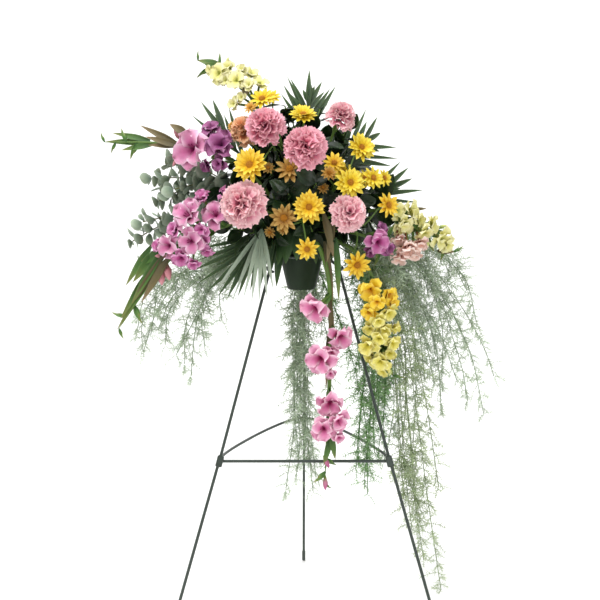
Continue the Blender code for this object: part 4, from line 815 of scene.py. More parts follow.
shoot_step = add(shoot_tree, "ShaderNodeMath", {0: 2 * pi, 1: ask["Per node"]}, operation="DIVIDE")
node_turn = add(shoot_tree, "ShaderNodeMath", {0: node_here, 1: ask["Turn"], 2: ask["First turn"]},
                operation="MULTIPLY_ADD")
twin_turn = add(shoot_tree, "ShaderNodeMath",
                {0: twins.outputs["Duplicate Index"], 1: shoot_step, 2: node_turn}, operation="MULTIPLY_ADD")
lift_down = add(shoot_tree, "ShaderNodeMath", {0: ask["Lift"], 1: -1.0}, operation="MULTIPLY")
roll, lift, turn = wobbling(shoot_tree, ask, (None, lift_down, twin_turn))
shoot_euler = add(shoot_tree, "ShaderNodeCombineXYZ", {"X": roll, "Y": lift, "Z": turn})
shoot_turn = add(shoot_tree, "FunctionNodeEulerToRotation", {"Euler": shoot_euler})
shoot_turn = add(shoot_tree, "FunctionNodeRotateRotation",
                 {"Rotation": nodes_of_stem.outputs["Rotation"], "Rotate By": shoot_turn},
                 rotation_space="LOCAL")
shoot_size = add(shoot_tree, "ShaderNodeMapRange", {"Value": reach_here, "To Min": ask["Root size"],
                                                    "To Max": ask["Tip size"]})
least_size = add(shoot_tree, "ShaderNodeMath", {0: 1.0, 1: ask["Vary"]}, operation="SUBTRACT")
most_size = add(shoot_tree, "ShaderNodeMath", {0: 1.0, 1: ask["Vary"]}, operation="ADD")
size_draw = add(shoot_tree, "FunctionNodeRandomValue",
                {"Min": least_size, "Max": most_size, "Seed": ask["Seed"]}, data_type="FLOAT")
shoot_size = add(shoot_tree, "ShaderNodeMath", {0: shoot_size, 1: size_draw}, operation="MULTIPLY")
end_with_parts(shoot_tree, ask, out, twins.outputs["Geometry"], shoot_turn, shoot_size)


def shooting(name, lines, kinds, finish, **values):
    """Shoots of these kinds along the lines, as one piece."""
    mesh = lines_mesh(name, [gauged(line, 0.001) for line in lines])
    return from_tray(name, mesh, shoot_tree, kinds, finish, values)


def nearest(line, place):
    """Distance along the line to its point nearest to the place."""
    walked = [0.0]
    for before, after in zip(line, line[1:]):
        walked.append(walked[-1] + (after - before).length)
    return min(zip(walked, line), key=lambda pair: (pair[1] - place).length)[0]


def mesh_of(item):
    """The item's mesh, once the item itself is cleared away."""
    mesh = item.data
    bpy.data.objects.remove(item)
    return mesh


def tepal(radius, width, frill, dice):
    """A silky tepal: broad, flared back to its tip, with a ruffled edge."""
    phase = [dice.uniform(0, 6.3) for _ in range(3)]
    rise, curve = 0.9, dice.uniform(1.30, 1.75)
    columns, rows = (12, 10) if radius > 0.034 else (8, 8)  # the large ones have more faces

    def surface(across, along):
        share = min(max(along, 0.0), 1.0)
        half = width * radius * max((share + 0.05) ** 0.5 * (1 - share ** 6) ** 0.5, 0.03)
        slope = rise - curve * along
        ruffle = sin(12 * along + phase[across > 0]) + 0.5 * sin(23 * along + phase[across < 0]) + 0.3
        wave = frill * radius * (abs(across) ** 1.6 * ruffle * share ** 0.7
                                 + 0.6 * share ** 5 * sin(4.5 * across + phase[2]))
        groove = 0.035 * radius * share * max(1 - (4 * across) ** 2, 0.0)
        return Vector((radius * (sin(rise) - sin(slope)) / curve, half * across * (1 - 0.12 * abs(across)),
                       radius * (cos(slope) - cos(rise)) / curve + wave + 0.10 * half * across ** 2 - groove))
    return blank("tepal", columns, rows, 0.0006, surface)


def pointed_leaf(length, width, fold, bend, thickness=0.0009, rows=8):
    """A lance-shaped leaf, folded along its middle and bent down towards the tip."""
    def surface(across, along):
        share = min(max(along, 0.0), 1.0)
        half = width * (0.30 + 0.70 * sin(pi * min(share * 1.1, 0.5))) * max(1 - share ** 2.6, 0.02)
        return Vector((length * along, half * across, fold * half * abs(across) - bend * length * along ** 2))
    return blank("leaf", 4, rows, thickness, surface)


def bud(length, width):
    """A furled bud: a spindle of overlapping tepals."""
    places, faces, along_of = [], [], []
    sides, rings = 8, 9
    for ring in range(rings + 1):
        share = ring / rings
        swell = width * (sin(pi * share ** 1.25) ** 0.8 * 0.9 + 0.12 * (1 - share))
        for k in range(sides):
            turn = 2 * pi * k / sides + share * 1.4
            lobed = max(swell, 0.0003) * (1 + 0.10 * cos(3 * turn))
            places.append(Vector((length * share, lobed * cos(turn), lobed * sin(turn))))
            along_of.append(share)
    for ring in range(rings):
        for k in range(sides):
            after = (k + 1) % sides
            faces.append((ring * sides + k, ring * sides + after,
                          (ring + 1) * sides + after, (ring + 1) * sides + k))
    faces += [tuple(reversed(range(sides))), tuple(range(rings * sides, (rings + 1) * sides))]
    mesh = tissue("bud", places, faces, along_of)
    mesh.shade_smooth()
    return mesh


def aimed(start, heading, face):
    """The matrix that takes +X to the heading and +Z as near as it can to the face."""
    ahead = heading.normalized()
    up = (face - ahead * face.dot(ahead)).normalized()
    matrix = Matrix((ahead, up.cross(ahead), up)).transposed().to_4x4()
    matrix.translation = start
    return matrix


def blade(start, tip, width, fold, bend, face, thickness=0.0009, rows=10):
    """A lance-shaped leaf laid from start to tip, its upper side turned to the face."""
    leaf = pointed_leaf((tip - start).length, width, fold, bend, thickness, rows)
    leaf.transform(aimed(start, tip - start, Vector(face)))
    return leaf


# Tepals: silk with a faint sheen, a dark or green throat and paler edges. Buds and spathes are firmer.
orchid = living("gladiolus_orchid_pink", (0.20, "#7c1a50"), (0.52, "#b15886"), "#cc91ad", 0.5, 40.0, 0.15,
                0.18, (0.9, "#e2c0d0"))
# Deep orchid: the orchid pink darkened, painted shade for the flowers that sit in the shade of the others
orchid_painted_shade = living("gladiolus_tepal_painted_shade", (0.20, "#3e0a32"), (0.52, "#762e60"), "#9b5986", 0.5, 40.0,
                     0.15, 0.2, (0.6, "#b37ea3"))
orchid_bright = living("gladiolus_bright_orchid", (0.20, "#7a1450"), (0.52, "#a84680"), "#c67ca8", 0.5, 40.0,
                       0.15, 0.2, (0.7, "#dcaac8"))
rose = living("gladiolus_rose_pink", (0.22, "#8f1450"), (0.54, "#c46492"), "#dea2bc", 0.5, 40.0, 0.15, 0.18,
              (0.9, "#eecbd7"))
cream = living("gladiolus_cream", (0.2, "#999a3c"), (0.5, "#cbc880"), "#dcd6a8", 0.5, 40.0, 0.15, 0.14,
               (0.5, "#e8e4c4"))
cream_green = living("gladiolus_greenish_cream", (0.2, "#a3a74c"), (0.5, "#d6d07c"), "#e8e4b4", 0.5, 40.0,
                     0.15, 0.14, (0.5, "#e4e0ac"))
salmon = living("gladiolus_pale_salmon", (0.2, "#b46654"), (0.5, "#deab9b"), "#ecd2c6", 0.5, 40.0, 0.15,
                0.14, (0.7, "#f3e4dd"))
lemon = living("gladiolus_lemon_yellow", (0.16, "#c07c0e"), (0.5, "#e2b81e"), "#eed040", 0.5, 40.0, 0.15,
               0.14, (0.5, "#f2df74"))
lemon_green = living("gladiolus_green_yellow", (0.16, "#9c962e"), (0.5, "#d2c650"), "#e6de84", 0.5, 40.0,
                     0.15, 0.14, (0.6, "#efe9ae"))
orchid_bud = living("gladiolus_salmon_bud", (0.2, "#8a7a50"), (0.5, "#ba737a"), "#d2939a", 0.5, 20.0, 0.2)
rose_bud = living("gladiolus_rose_bud", (0.2, "#7c9144"), (0.5, "#c07c92"), "#b8578c", 0.5, 20.0, 0.2)
cream_bud = living("gladiolus_cream_bud", (0.35, "#7f9848"), (0.7, "#c2cc7c"), "#e4e49c", 0.5, 20.0, 0.2)
spathe_green = living("gladiolus_spathe", (0.0, "#2f5426"), (0.6, "#55793a"), "#84854a", 0.42, 34.0, 0.3)
spathe_bronze = living("gladiolus_bronzed_spathe", (0.0, "#4f4a30"), (0.6, "#6f6442"), "#8c7a58", 0.42, 34.0,
                       0.3)

# Each spike, in millimetres: its heading, its route, open flowers (x, y, z, diameter), half-open ones,
# closed buds (x, y, z, length), loose sheaths, green then bronzed (from, to, half their width), and how
# much of the tip carries small buds. Then its finishes, the frill of its petals and a seed.
spikes = (
    ("left_high", (-0.149, -0.042, 0.135),
     [(-120, -105, 950), (-200, -90, 985), (-300, -70, 995), (-390, -50, 996)], [(-211, -130, 982, 68)],
     [(-155, -150, 986, 60), (-175, -120, 1016, 40), (-157, -150, 956, 36), (-183, -130, 954, 30),
      (-184, -110, 1000, 34)], [(-250, -100, 1019, 30), (-252, -110, 950, 24)],
     [((-296, -60, 994), (-392, -50, 998), 8.0), ((-300, -62, 999), (-376, -50, 1014), 6.8),
      ((-292, -70, 991), (-358, -62, 981), 7.2)],
     [((-240, -90, 990), (-318, -74, 1028), 7.5), ((-238, -100, 988), (-306, -90, 1006), 7.8),
      ((-244, -88, 988), (-300, -94, 990), 6.6), ((-222, -112, 1010), (-258, -100, 1030), 8.5)], 70, orchid,
     orchid_painted_shade, orchid_bud, 0.17, 31),
    ("left_low", (-0.85, -0.45, 0.05),
     [(-130, -150, 842), (-200, -150, 820), (-275, -130, 755), (-362, -100, 636)],
     [(-213, -190, 859, 60), (-164, -190, 860, 52), (-250, -180, 804, 45), (-208, -208, 815, 46)],
     [(-228, -190, 786, 40), (-187, -205, 835, 34), (-238, -180, 833, 36), (-140, -160, 894, 44),
      (-181, -190, 800, 30), (-272, -160, 800, 28), (-187, -180, 889, 36), (-207, -195, 776, 28),
      (-188, -200, 814, 34)], [(-272, -145, 725, 56), (-256, -155, 736, 46), (-284, -150, 782, 30)],
     [((-262, -140, 790), (-364, -100, 632), 9.5), ((-292, -125, 800), (-346, -110, 720), 8.5),
      ((-266, -150, 797), (-338, -120, 682), 9.0), ((-278, -130, 795), (-330, -118, 729), 11.0),
      ((-295, -122, 758), (-358, -108, 656), 8.0), ((-274, -140, 788), (-322, -112, 760), 9.0)],
     [((-268, -152, 785), (-340, -112, 676), 7.5), ((-256, -150, 782), (-313, -130, 690), 8.5)], 60, orchid,
     orchid_bright, orchid_bud, 0.17, 32),
    ("front", (0.25, -0.93, -0.25),
     [(30, -175, 795), (46, -185, 730), (48, -185, 600), (44, -185, 480), (38, -190, 350)],
     [(21, -225, 695, 52), (63, -220, 640, 47), (30, -230, 600, 53), (46, -225, 516, 49),
      (36, -230, 468, 46)],
     [(60, -235, 486, 42), (60, -225, 452, 26), (48, -222, 614, 34), (47, -220, 573, 26)],
     [(39, -200, 340, 30), (46, -200, 384, 30)],
     [((57, -190, 820), (62, -192, 700), 7.5), ((48, -190, 440), (36, -194, 386), 7.0),
      ((50, -192, 446), (58, -196, 398), 6.5)],
     [((36, -178, 812), (54, -190, 700), 6.8), ((33, -205, 868), (54, -205, 783), 8.5),
      ((54, -200, 857), (41, -200, 775), 7.5), ((46, -188, 716), (54, -196, 600), 6.2),
      ((44, -192, 640), (40, -196, 536), 5.6)], 50, rose, rose, rose_bud, 0.17, 33),
    ("top", (-0.094, 0.013, 0.255),
     [(-85, -70, 1050), (-120, -55, 1100), (-160, -45, 1130), (-207, -40, 1153)],
     [(-163, -75, 1125, 38), (-129, -100, 1111, 36), (-103, -80, 1122, 35), (-86, -95, 1103, 33)],
     [(-130, -110, 1067, 32), (-147, -85, 1112, 32), (-145, -75, 1135, 30), (-120, -90, 1128, 30),
      (-105, -110, 1099, 30), (-179, -60, 1134, 24), (-117, -110, 1078, 26)], [(-148, -50, 1160, 22)],
     [((-160, -48, 1142), (-210, -40, 1155), 8.2), ((-163, -52, 1136), (-196, -45, 1148), 8.5),
      ((-164, -46, 1140), (-165, -40, 1170), 3.6)], [((-109, -108, 1099), (-117, -116, 1076), 7.5)], 30,
     cream_green, cream, cream_bud, 0.11, 34),
    ("right", (0.957, -0.196, 0.215), [(150, -120, 868), (205, -105, 848), (250, -80, 820), (293, -60, 782)],
     [(200, -130, 865, 43), (184, -142, 838, 41), (261, -100, 812, 45), (241, -110, 840, 38),
      (275, -90, 800, 32), (217, -120, 848, 30), (172, -150, 868, 34), (226, -130, 826, 36),
      (186, -152, 846, 34)],
     [(195, -152, 804, 51), (180, -150, 786, 43), (177, -150, 818, 36), (218, -130, 810, 40),
      (208, -140, 790, 36)], [(236, -120, 794, 34), (276, -85, 836, 22)],
     [((228, -112, 820), (250, -105, 786), 6.6), ((195, -130, 847), (224, -120, 827), 6.2),
      ((240, -95, 826), (284, -70, 818), 5.5)],
     [((259, -80, 785), (296, -60, 782), 6.8), ((210, -110, 868), (235, -100, 869), 3.6)], 30, cream_green,
     salmon, cream_bud, 0.12, 35),
    ("hanging", (0.62, -0.75, -0.23),
     [(90, -165, 795), (128, -170, 740), (142, -165, 660), (168, -160, 555)],
     [(122, -208, 727, 43), (154, -195, 714, 35), (133, -215, 704, 30), (121, -205, 683, 32),
      (161, -195, 700, 27)],
     [(152, -198, 684, 38), (121, -210, 625, 45), (160, -200, 626, 37), (143, -200, 593, 43),
      (146, -205, 653, 35), (123, -200, 654, 31), (137, -215, 637, 32), (158, -190, 605, 29),
      (127, -190, 599, 30), (149, -185, 572, 29), (135, -215, 671, 31), (164, -185, 652, 29)],
     [(160, -175, 556, 24)],
     [((153, -175, 600), (168, -162, 553), 5.2), ((150, -175, 603), (143, -170, 560), 5.0),
      ((140, -190, 700), (146, -200, 668), 5.0)], [], 30, lemon, lemon_green, cream_bud, 0.13, 36),
    ("side", (0.9, -0.43, -0.06), [(90, -150, 826), (128, -165, 815), (160, -160, 790)],
     [(133, -205, 814, 44)], [(137, -190, 834, 30), (151, -190, 802, 29), (121, -190, 797, 26)],
     [(166, -175, 786, 28)], [((150, -172, 812), (168, -176, 846), 5.0)], [], 25, orchid_bright, orchid_painted_shade,
     orchid_bud, 0.17, 37))
spike_slots = {"front": "rose", "top": "cream", "right": "cream", "hanging": "yellow"}
for (name, heading, route, florets, young, closed, green_sheaths, bronze_sheaths, budding, finish,
     young_finish, bud_finish, frill, seed) in spikes:
    dice = Random(seed)
    line = smooth_line(planted(heading) + [spot(*place) for place in route])
    total = line_length(line)
    stout = 0.0046 if name == "front" else 0.0038
    taper = [1 - 0.25 * index / 40 if index < 28 else 0.825 - 2.3 * (index / 40 - 0.7) for index in range(41)]
    spike = [[(at(line, total * index / 40)[0], stout * share) for index, share in enumerate(taper)]]
    flowers, half_open, spathes, bronzed, buds = [], [], [], [], []
    for number, (x, y, z, diameter) in enumerate(florets + young):
        is_young = number >= len(florets)
        place = spot(x, y, z)
        radius = diameter / 2000
        root, onward = at(line, max(0.07, nearest(line, place) - 0.012))
        look = (place - root).normalized()
        tube = max(0.008, (place - root).length - 0.30 * radius)
        kinds = [tepal(radius * 1.40, 0.52 * dice.uniform(0.92, 1.12), frill, dice) for _ in range(4)]
        flower = blossom("flower", kinds, finish, Rows=2, Per_row=3, Row_turn=pi / 3, Row_rise=0.002,
                         Outer_lift=0.45 if is_young else 0.19, Inner_lift=0.80 if is_young else 0.49,
                         Inner_size=1.0, Wobble=0.12, Seed=dice.randint(0, 999))
        stamens = wires("stamens", [
            [(Vector((radius * out * cos(turn), radius * out * sin(turn), rise)), thick)
             for out, rise, thick in ((0.10, -tube * 0.4, 0.0005), (0.16, radius * 0.30, 0.0005),
                                      (0.24, radius * 0.46, 0.0011), (0.28, radius * 0.60, 0.0007))]
            for turn in (0.3, 0.9, 1.5)], 5, finish)
        place_it = seated(root + look * tube, look, dice.uniform(0, 2))
        for part in (flower, stamens):
            part.data.transform(place_it)
            (half_open if is_young else flowers).append(mesh_of(part))
        spike.append([(root, 0.0022), (root + look * tube * 0.6, 0.0026), (root + look * tube, 0.12 * radius),
                      (root + look * (tube + 0.004), 0.15 * radius)])
        for hand in (-1, 1):
            spathe = pointed_leaf(0.9 * radius + 0.014, 0.0062, 0.7, -0.05)
            spathe.transform(aimed(root - onward * 0.004, look + onward * 0.55,
                                   look.cross(onward) * hand + look))
            spathes.append(spathe)
    for x, y, z, length in closed:
        place, length = spot(x, y, z), length / 1000
        root = at(line, min(max(0.07, nearest(line, place) - 0.015), total - 0.006))[0]
        look = (place - root).normalized()
        furled = bud(length, length * 0.17)
        furled.transform(aimed(place - look * length, look, Vector((0, -1, 0.3))))
        buds.append(furled)
        spike.append([(root, 0.0020), (place - look * (length - 0.003), 0.0022)])
    for sheaths, kept in ((green_sheaths, spathes), (bronze_sheaths, bronzed)):
        for start, tip, half in sheaths:
            kept.append(blade(spot(*start), spot(*tip), half / 1000, 0.6, dice.uniform(-0.05, 0.05),
                              (dice.uniform(-0.4, 0.4), -1, 0.3)))
    budding /= 1000
    tip_line = [at(line, total - budding + budding * index / 20)[0] for index in range(21)]
    for kind, size, lift in ((bud(0.026, 0.0042), 1.0, 0.5),
                             (pointed_leaf(0.032, 0.0062, 0.8, -0.04), 1.2, 0.45)):
        spathes.append(mesh_of(shooting(
            "shoots", [tip_line], [kind], spathe_green, Bare=0.001, Spacing=0.020, Per_node=1, Turn=pi,
            First_turn=pi / 2, Lift=lift, Wobble=0.10, Root_size=size, Tip_size=size * 0.6, Vary=0.15,
            Seed=seed)))
    colour_slot = "gladiolus_" + spike_slots.get(name, "orchid")
    join_root(gather("gladiolus_" + name + "_flowers", flowers, finish), colour_slot, "gladiolus_" + name)
    join_root(gather("gladiolus_" + name + "_young_flowers", half_open, young_finish), colour_slot)
    stems("gladiolus_" + name + "_spike", spike, 12, stem_green)
    join_root(gather("gladiolus_" + name + "_buds", buds, bud_finish), "stem_green")
    join_root(gather("gladiolus_" + name + "_spathes", spathes, spathe_green), "stem_green")
    if bronzed:
        join_root(gather("gladiolus_" + name + "_bronzed_spathes", bronzed, spathe_bronze), "stem_green")


# Palm: five dark fronds. Each has narrow, leathery blades, folded along the middle, that fan from the end of
# a slim stem. They have a dull shine, and their paler margin is a painted highlight. A few blades, lower
# left, are grey-green, painted paler still as a highlight.
palm_dark = living("palm_dark_green", (0.0, "#1f3319"), (0.5, "#2b4525"), "#4c683c", 0.36, 26.0, 0.35, 0.2,
                   (0.35, "#6f8a5c"))
# Grey-green blades painted pale, a painted highlight
palm_painted_highlight = living("palm_blade_grey_painted_highlight", (0.0, "#6b7e66"), (0.5, "#9aa993"), "#c9d2c3", 0.4, 26.0, 0.3, 0.2)
for name, heading, root, tips, seed in (
        ("top", (0.013, 0.028, 0.219), (7, -60, 1040),
         [(-34, -35, 1126), (-46, -50, 1091), (-28, -40, 1120), (9, -40, 1137), (20, -40, 1105),
          (34, -40, 1114), (61, -50, 1106), (49, -50, 1083), (-42, -45, 1108), (50, -50, 1100)], 41),
        ("upper_right", (0.094, 0.028, 0.155), (88, -60, 980),
         [(121, -30, 1063), (144, -30, 1047), (182, -40, 987), (185, -45, 965), (172, -45, 950),
          (150, -40, 1015), (100, -30, 1060)], 42),
        ("right", (0.85, 0.1, 0.5), (130, -85, 895),
         [(214, -40, 926), (238, -40, 904), (205, -50, 948), (225, -50, 880), (190, -50, 960)], 43),
        ("upper_left", (-0.13, 0.028, 0.155), (-136, -60, 985),
         [(-206, -20, 1077), (-182, -20, 1082), (-150, -30, 1065), (-225, -30, 1050)], 44),
        ("lower_left", (-0.7, -0.69, -0.17), (-80, -150, 815),
         [(-188, -120, 710), (-169, -120, 700), (-150, -120, 696), (-129, -120, 698), (-105, -120, 710),
          (-85, -120, 722), (-71, -120, 742), (-207, -120, 725), (-220, -120, 748), (-206, -120, 772),
          (-201, -120, 795)], 45)):
    dice = Random(seed)
    root = spot(*root)
    tips = [spot(*tip) for tip in tips]
    middle = sum(tips, Vector()) / len(tips)
    line = smooth_line(planted(heading) + [root, root + (middle - root).normalized() * 0.05])
    total = line_length(line)
    fill = [first.lerp(second, 0.5) for first, second in zip(tips, tips[1:])
            if (first - second).length < 0.05]
    fill = [root + (tip - root) * dice.uniform(0.62, 0.85) for tip in fill]
    blades = []
    order = sorted(tips + fill, key=lambda tip: (tip - middle).length, reverse=True)
    for index, tip in enumerate(order):
        start = at(line, total - 0.004 - 0.075 * (1 - index / len(order)))[0]
        blades.append(blade(start, tip, dice.uniform(0.0050, 0.0066), 0.55, 0.04,
                            (dice.uniform(-0.3, 0.3), -1, dice.uniform(0.0, 0.5)), 0.0007, 12))
    blades.append(mesh_of(wires("midrib", [gauged(line, 0.0018)], 8, palm_dark)))
    join_root(gather("palm_" + name + "_frond", blades, palm_dark), "palm_leaf", "palm_" + name)
# The pale blades at the lower left carry the painted highlight
pale_blades = [blade(spot(-80, -185, 836), spot(*tip), 0.0046, 0.55, 0.02, (dice.uniform(-0.3, 0.3), -1, 0.3),
                     0.0007, 12)
               for tip in ((-116, -185, 703), (-101, -185, 693), (-86, -185, 695), (-71, -185, 704),
                           (-58, -185, 720), (-178, -135, 704), (-139, -135, 696))]
join_root(gather("palm_lower_left_pale_blades", pale_blades, palm_painted_highlight), "palm_leaf")
stalk = [spot(-80, -150, 815), spot(-80, -170, 830), spot(-80, -186, 837)]
stems("palm_lower_left_stalk", [gauged(stalk, 0.0016)], 8, palm_dark)


# Eucalyptus: one branched stem of slim, brownish twigs with pairs of round leaves. A bloom of wax makes the
# leaves blue-grey and matt, with a paler margin.
eucalyptus_grey = living("eucalyptus_blue_grey", (0.0, "#586a5e"), (0.5, "#7f8f7a"), "#a6b29f", 0.55, 12.0,
                         0.15, 0.3, (0.4, "#adb8a6"))
twig_brown = living("brown_green_twig", (0.0, "#6a6a40"), (0.5, "#75744a"), "#82815a", 0.6, 20.0, 0.2)


def round_leaf(length, width, cup):
    """A nearly round leaf on a short stalk, a little cupped."""
    def surface(across, along):
        share = min(max(along, 0.0), 1.0)
        half = width * max(sin(pi * share ** 0.9) ** 0.6, 0.05)
        return Vector((length * (0.10 + 0.90 * along), half * across,
                       cup * half * (across ** 2 - 0.3) + 0.05 * length * sin(pi * along)))
    return blank("round_leaf", 6, 6, 0.0007, surface)


def forked(heading, routes):
    """Lines of branches that leave one hole together: the first is the main one, and the rest join it."""
    main = smooth_line(planted(heading) + [spot(*place) for place in routes[0]])
    lines = [main]
    for number, route in enumerate(routes[1:]):
        fork = at(main, max(0.084 - 0.018 * number, 0.040))[0]
        lines.append(smooth_line([fork] + [spot(*place) for place in route]))
    return lines


eucalyptus_lines = forked((-0.896, 0.174, 0.405), [
    [(-150, -50, 905), (-230, -35, 925), (-303, -20, 925)],
    [(-200, -40, 870), (-290, -30, 830), (-344, -20, 800)],
    [(-170, -50, 840), (-270, -40, 790), (-325, -30, 745)],
    [(-160, -40, 895), (-240, -30, 895), (-290, -20, 880)],
    [(-150, -60, 880), (-230, -50, 860), (-320, -40, 840)],
    [(-160, -60, 920), (-220, -40, 945), (-265, -20, 955)],
    [(-150, -70, 900), (-200, -60, 915), (-255, -50, 905)],
    [(-150, -30, 860), (-225, -20, 880), (-285, -10, 905)],
    [(-170, -80, 930), (-215, -70, 952), (-256, -60, 962)]])
leaf_dice = Random(51)
leaves = shooting("eucalyptus_leaves", eucalyptus_lines,
                  [round_leaf(0.031, leaf_dice.uniform(0.0135, 0.0170), leaf_dice.uniform(0.0, 0.4))
                   for _ in range(3)], eucalyptus_grey, Bare=0.070, Spacing=0.0128, Per_node=2, Turn=1.3,
                  First_turn=0.4, Lift=0.5, Wobble=0.55, Root_size=1.05, Tip_size=0.80, Vary=0.2, Seed=51)
join_root(leaves, "eucalyptus_leaf", "eucalyptus")
stems("eucalyptus_twigs", [gauged(line, 0.0013) for line in eucalyptus_lines], 8, twig_brown)


# Asparagus fern: long, thin, trailing stems, each in a soft sleeve of side shoots with fine flat needles.
# From a few steps away they are a matt, feathery haze, from grey-green to a fresh green where young.
fern_grey = living("asparagus_grey_green", (0.0, "#899b7e"), (0.5, "#acbca0"), "#ced9c4", 0.6, 3.0, 0.05,
                   0.25)
fern_fresh = living("asparagus_fresh_green", (0.0, "#577f48"), (0.5, "#7fa86b"), "#a6c490", 0.6, 3.0, 0.05,
                    0.25)
fern_olive = living("asparagus_olive_green", (0.0, "#80926a"), (0.5, "#a5b58b"), "#cdd7b8", 0.6, 3.0, 0.05,
                    0.25)


def feathery(length, whorls, needle, dice):
    """A side shoot: a thread that bends towards the tip of its stem, with whorls of fine needles."""
    places, faces, along_of = [], [], []
    for index in range(whorls * 3):
        share = 0.15 + 0.85 * (index // 3 + dice.uniform(-0.3, 0.3)) / whorls
        root = Vector((length * share, 0, 0.30 * length * share ** 2))
        turn = index * 2.1 + index // 3 * 0.8 + dice.uniform(-0.5, 0.5)
        ahead = Vector((dice.uniform(0.2, 0.9), cos(turn), sin(turn) + 0.3)).normalized()
        side = ahead.orthogonal().normalized()
        half = needle * 0.042
        start = len(places)
        places += [root + side * half, root - side * half, root + ahead.cross(side) * half * 0.8,
                   root + ahead * needle * dice.uniform(0.6, 1.2) * (1.1 - 0.35 * share)]
        faces += [(start, start + 2, start + 1), (start, start + 1, start + 3),
                  (start + 1, start + 2, start + 3), (start + 2, start, start + 3)]
        along_of += [share * 0.5] * 3 + [share * 0.5 + 0.5]
    thread = len(places)
    for share in (0.0, 0.5, 1.0):
        for k in range(3):
            places.append(Vector((length * share, 0.0005 * cos(2.1 * k), 0.30 * length * share ** 2
                                  + 0.0005 * sin(2.1 * k))))
            along_of.append(0.1)
    for low in (thread, thread + 3):
        for k in range(3):
            after = (k + 1) % 3
            faces.append((low + k, low + after, low + 3 + after, low + 3 + k))
    faces += [(thread + 2, thread + 1, thread), (thread + 6, thread + 7, thread + 8)]
    return tissue("side_shoot", places, faces, along_of)


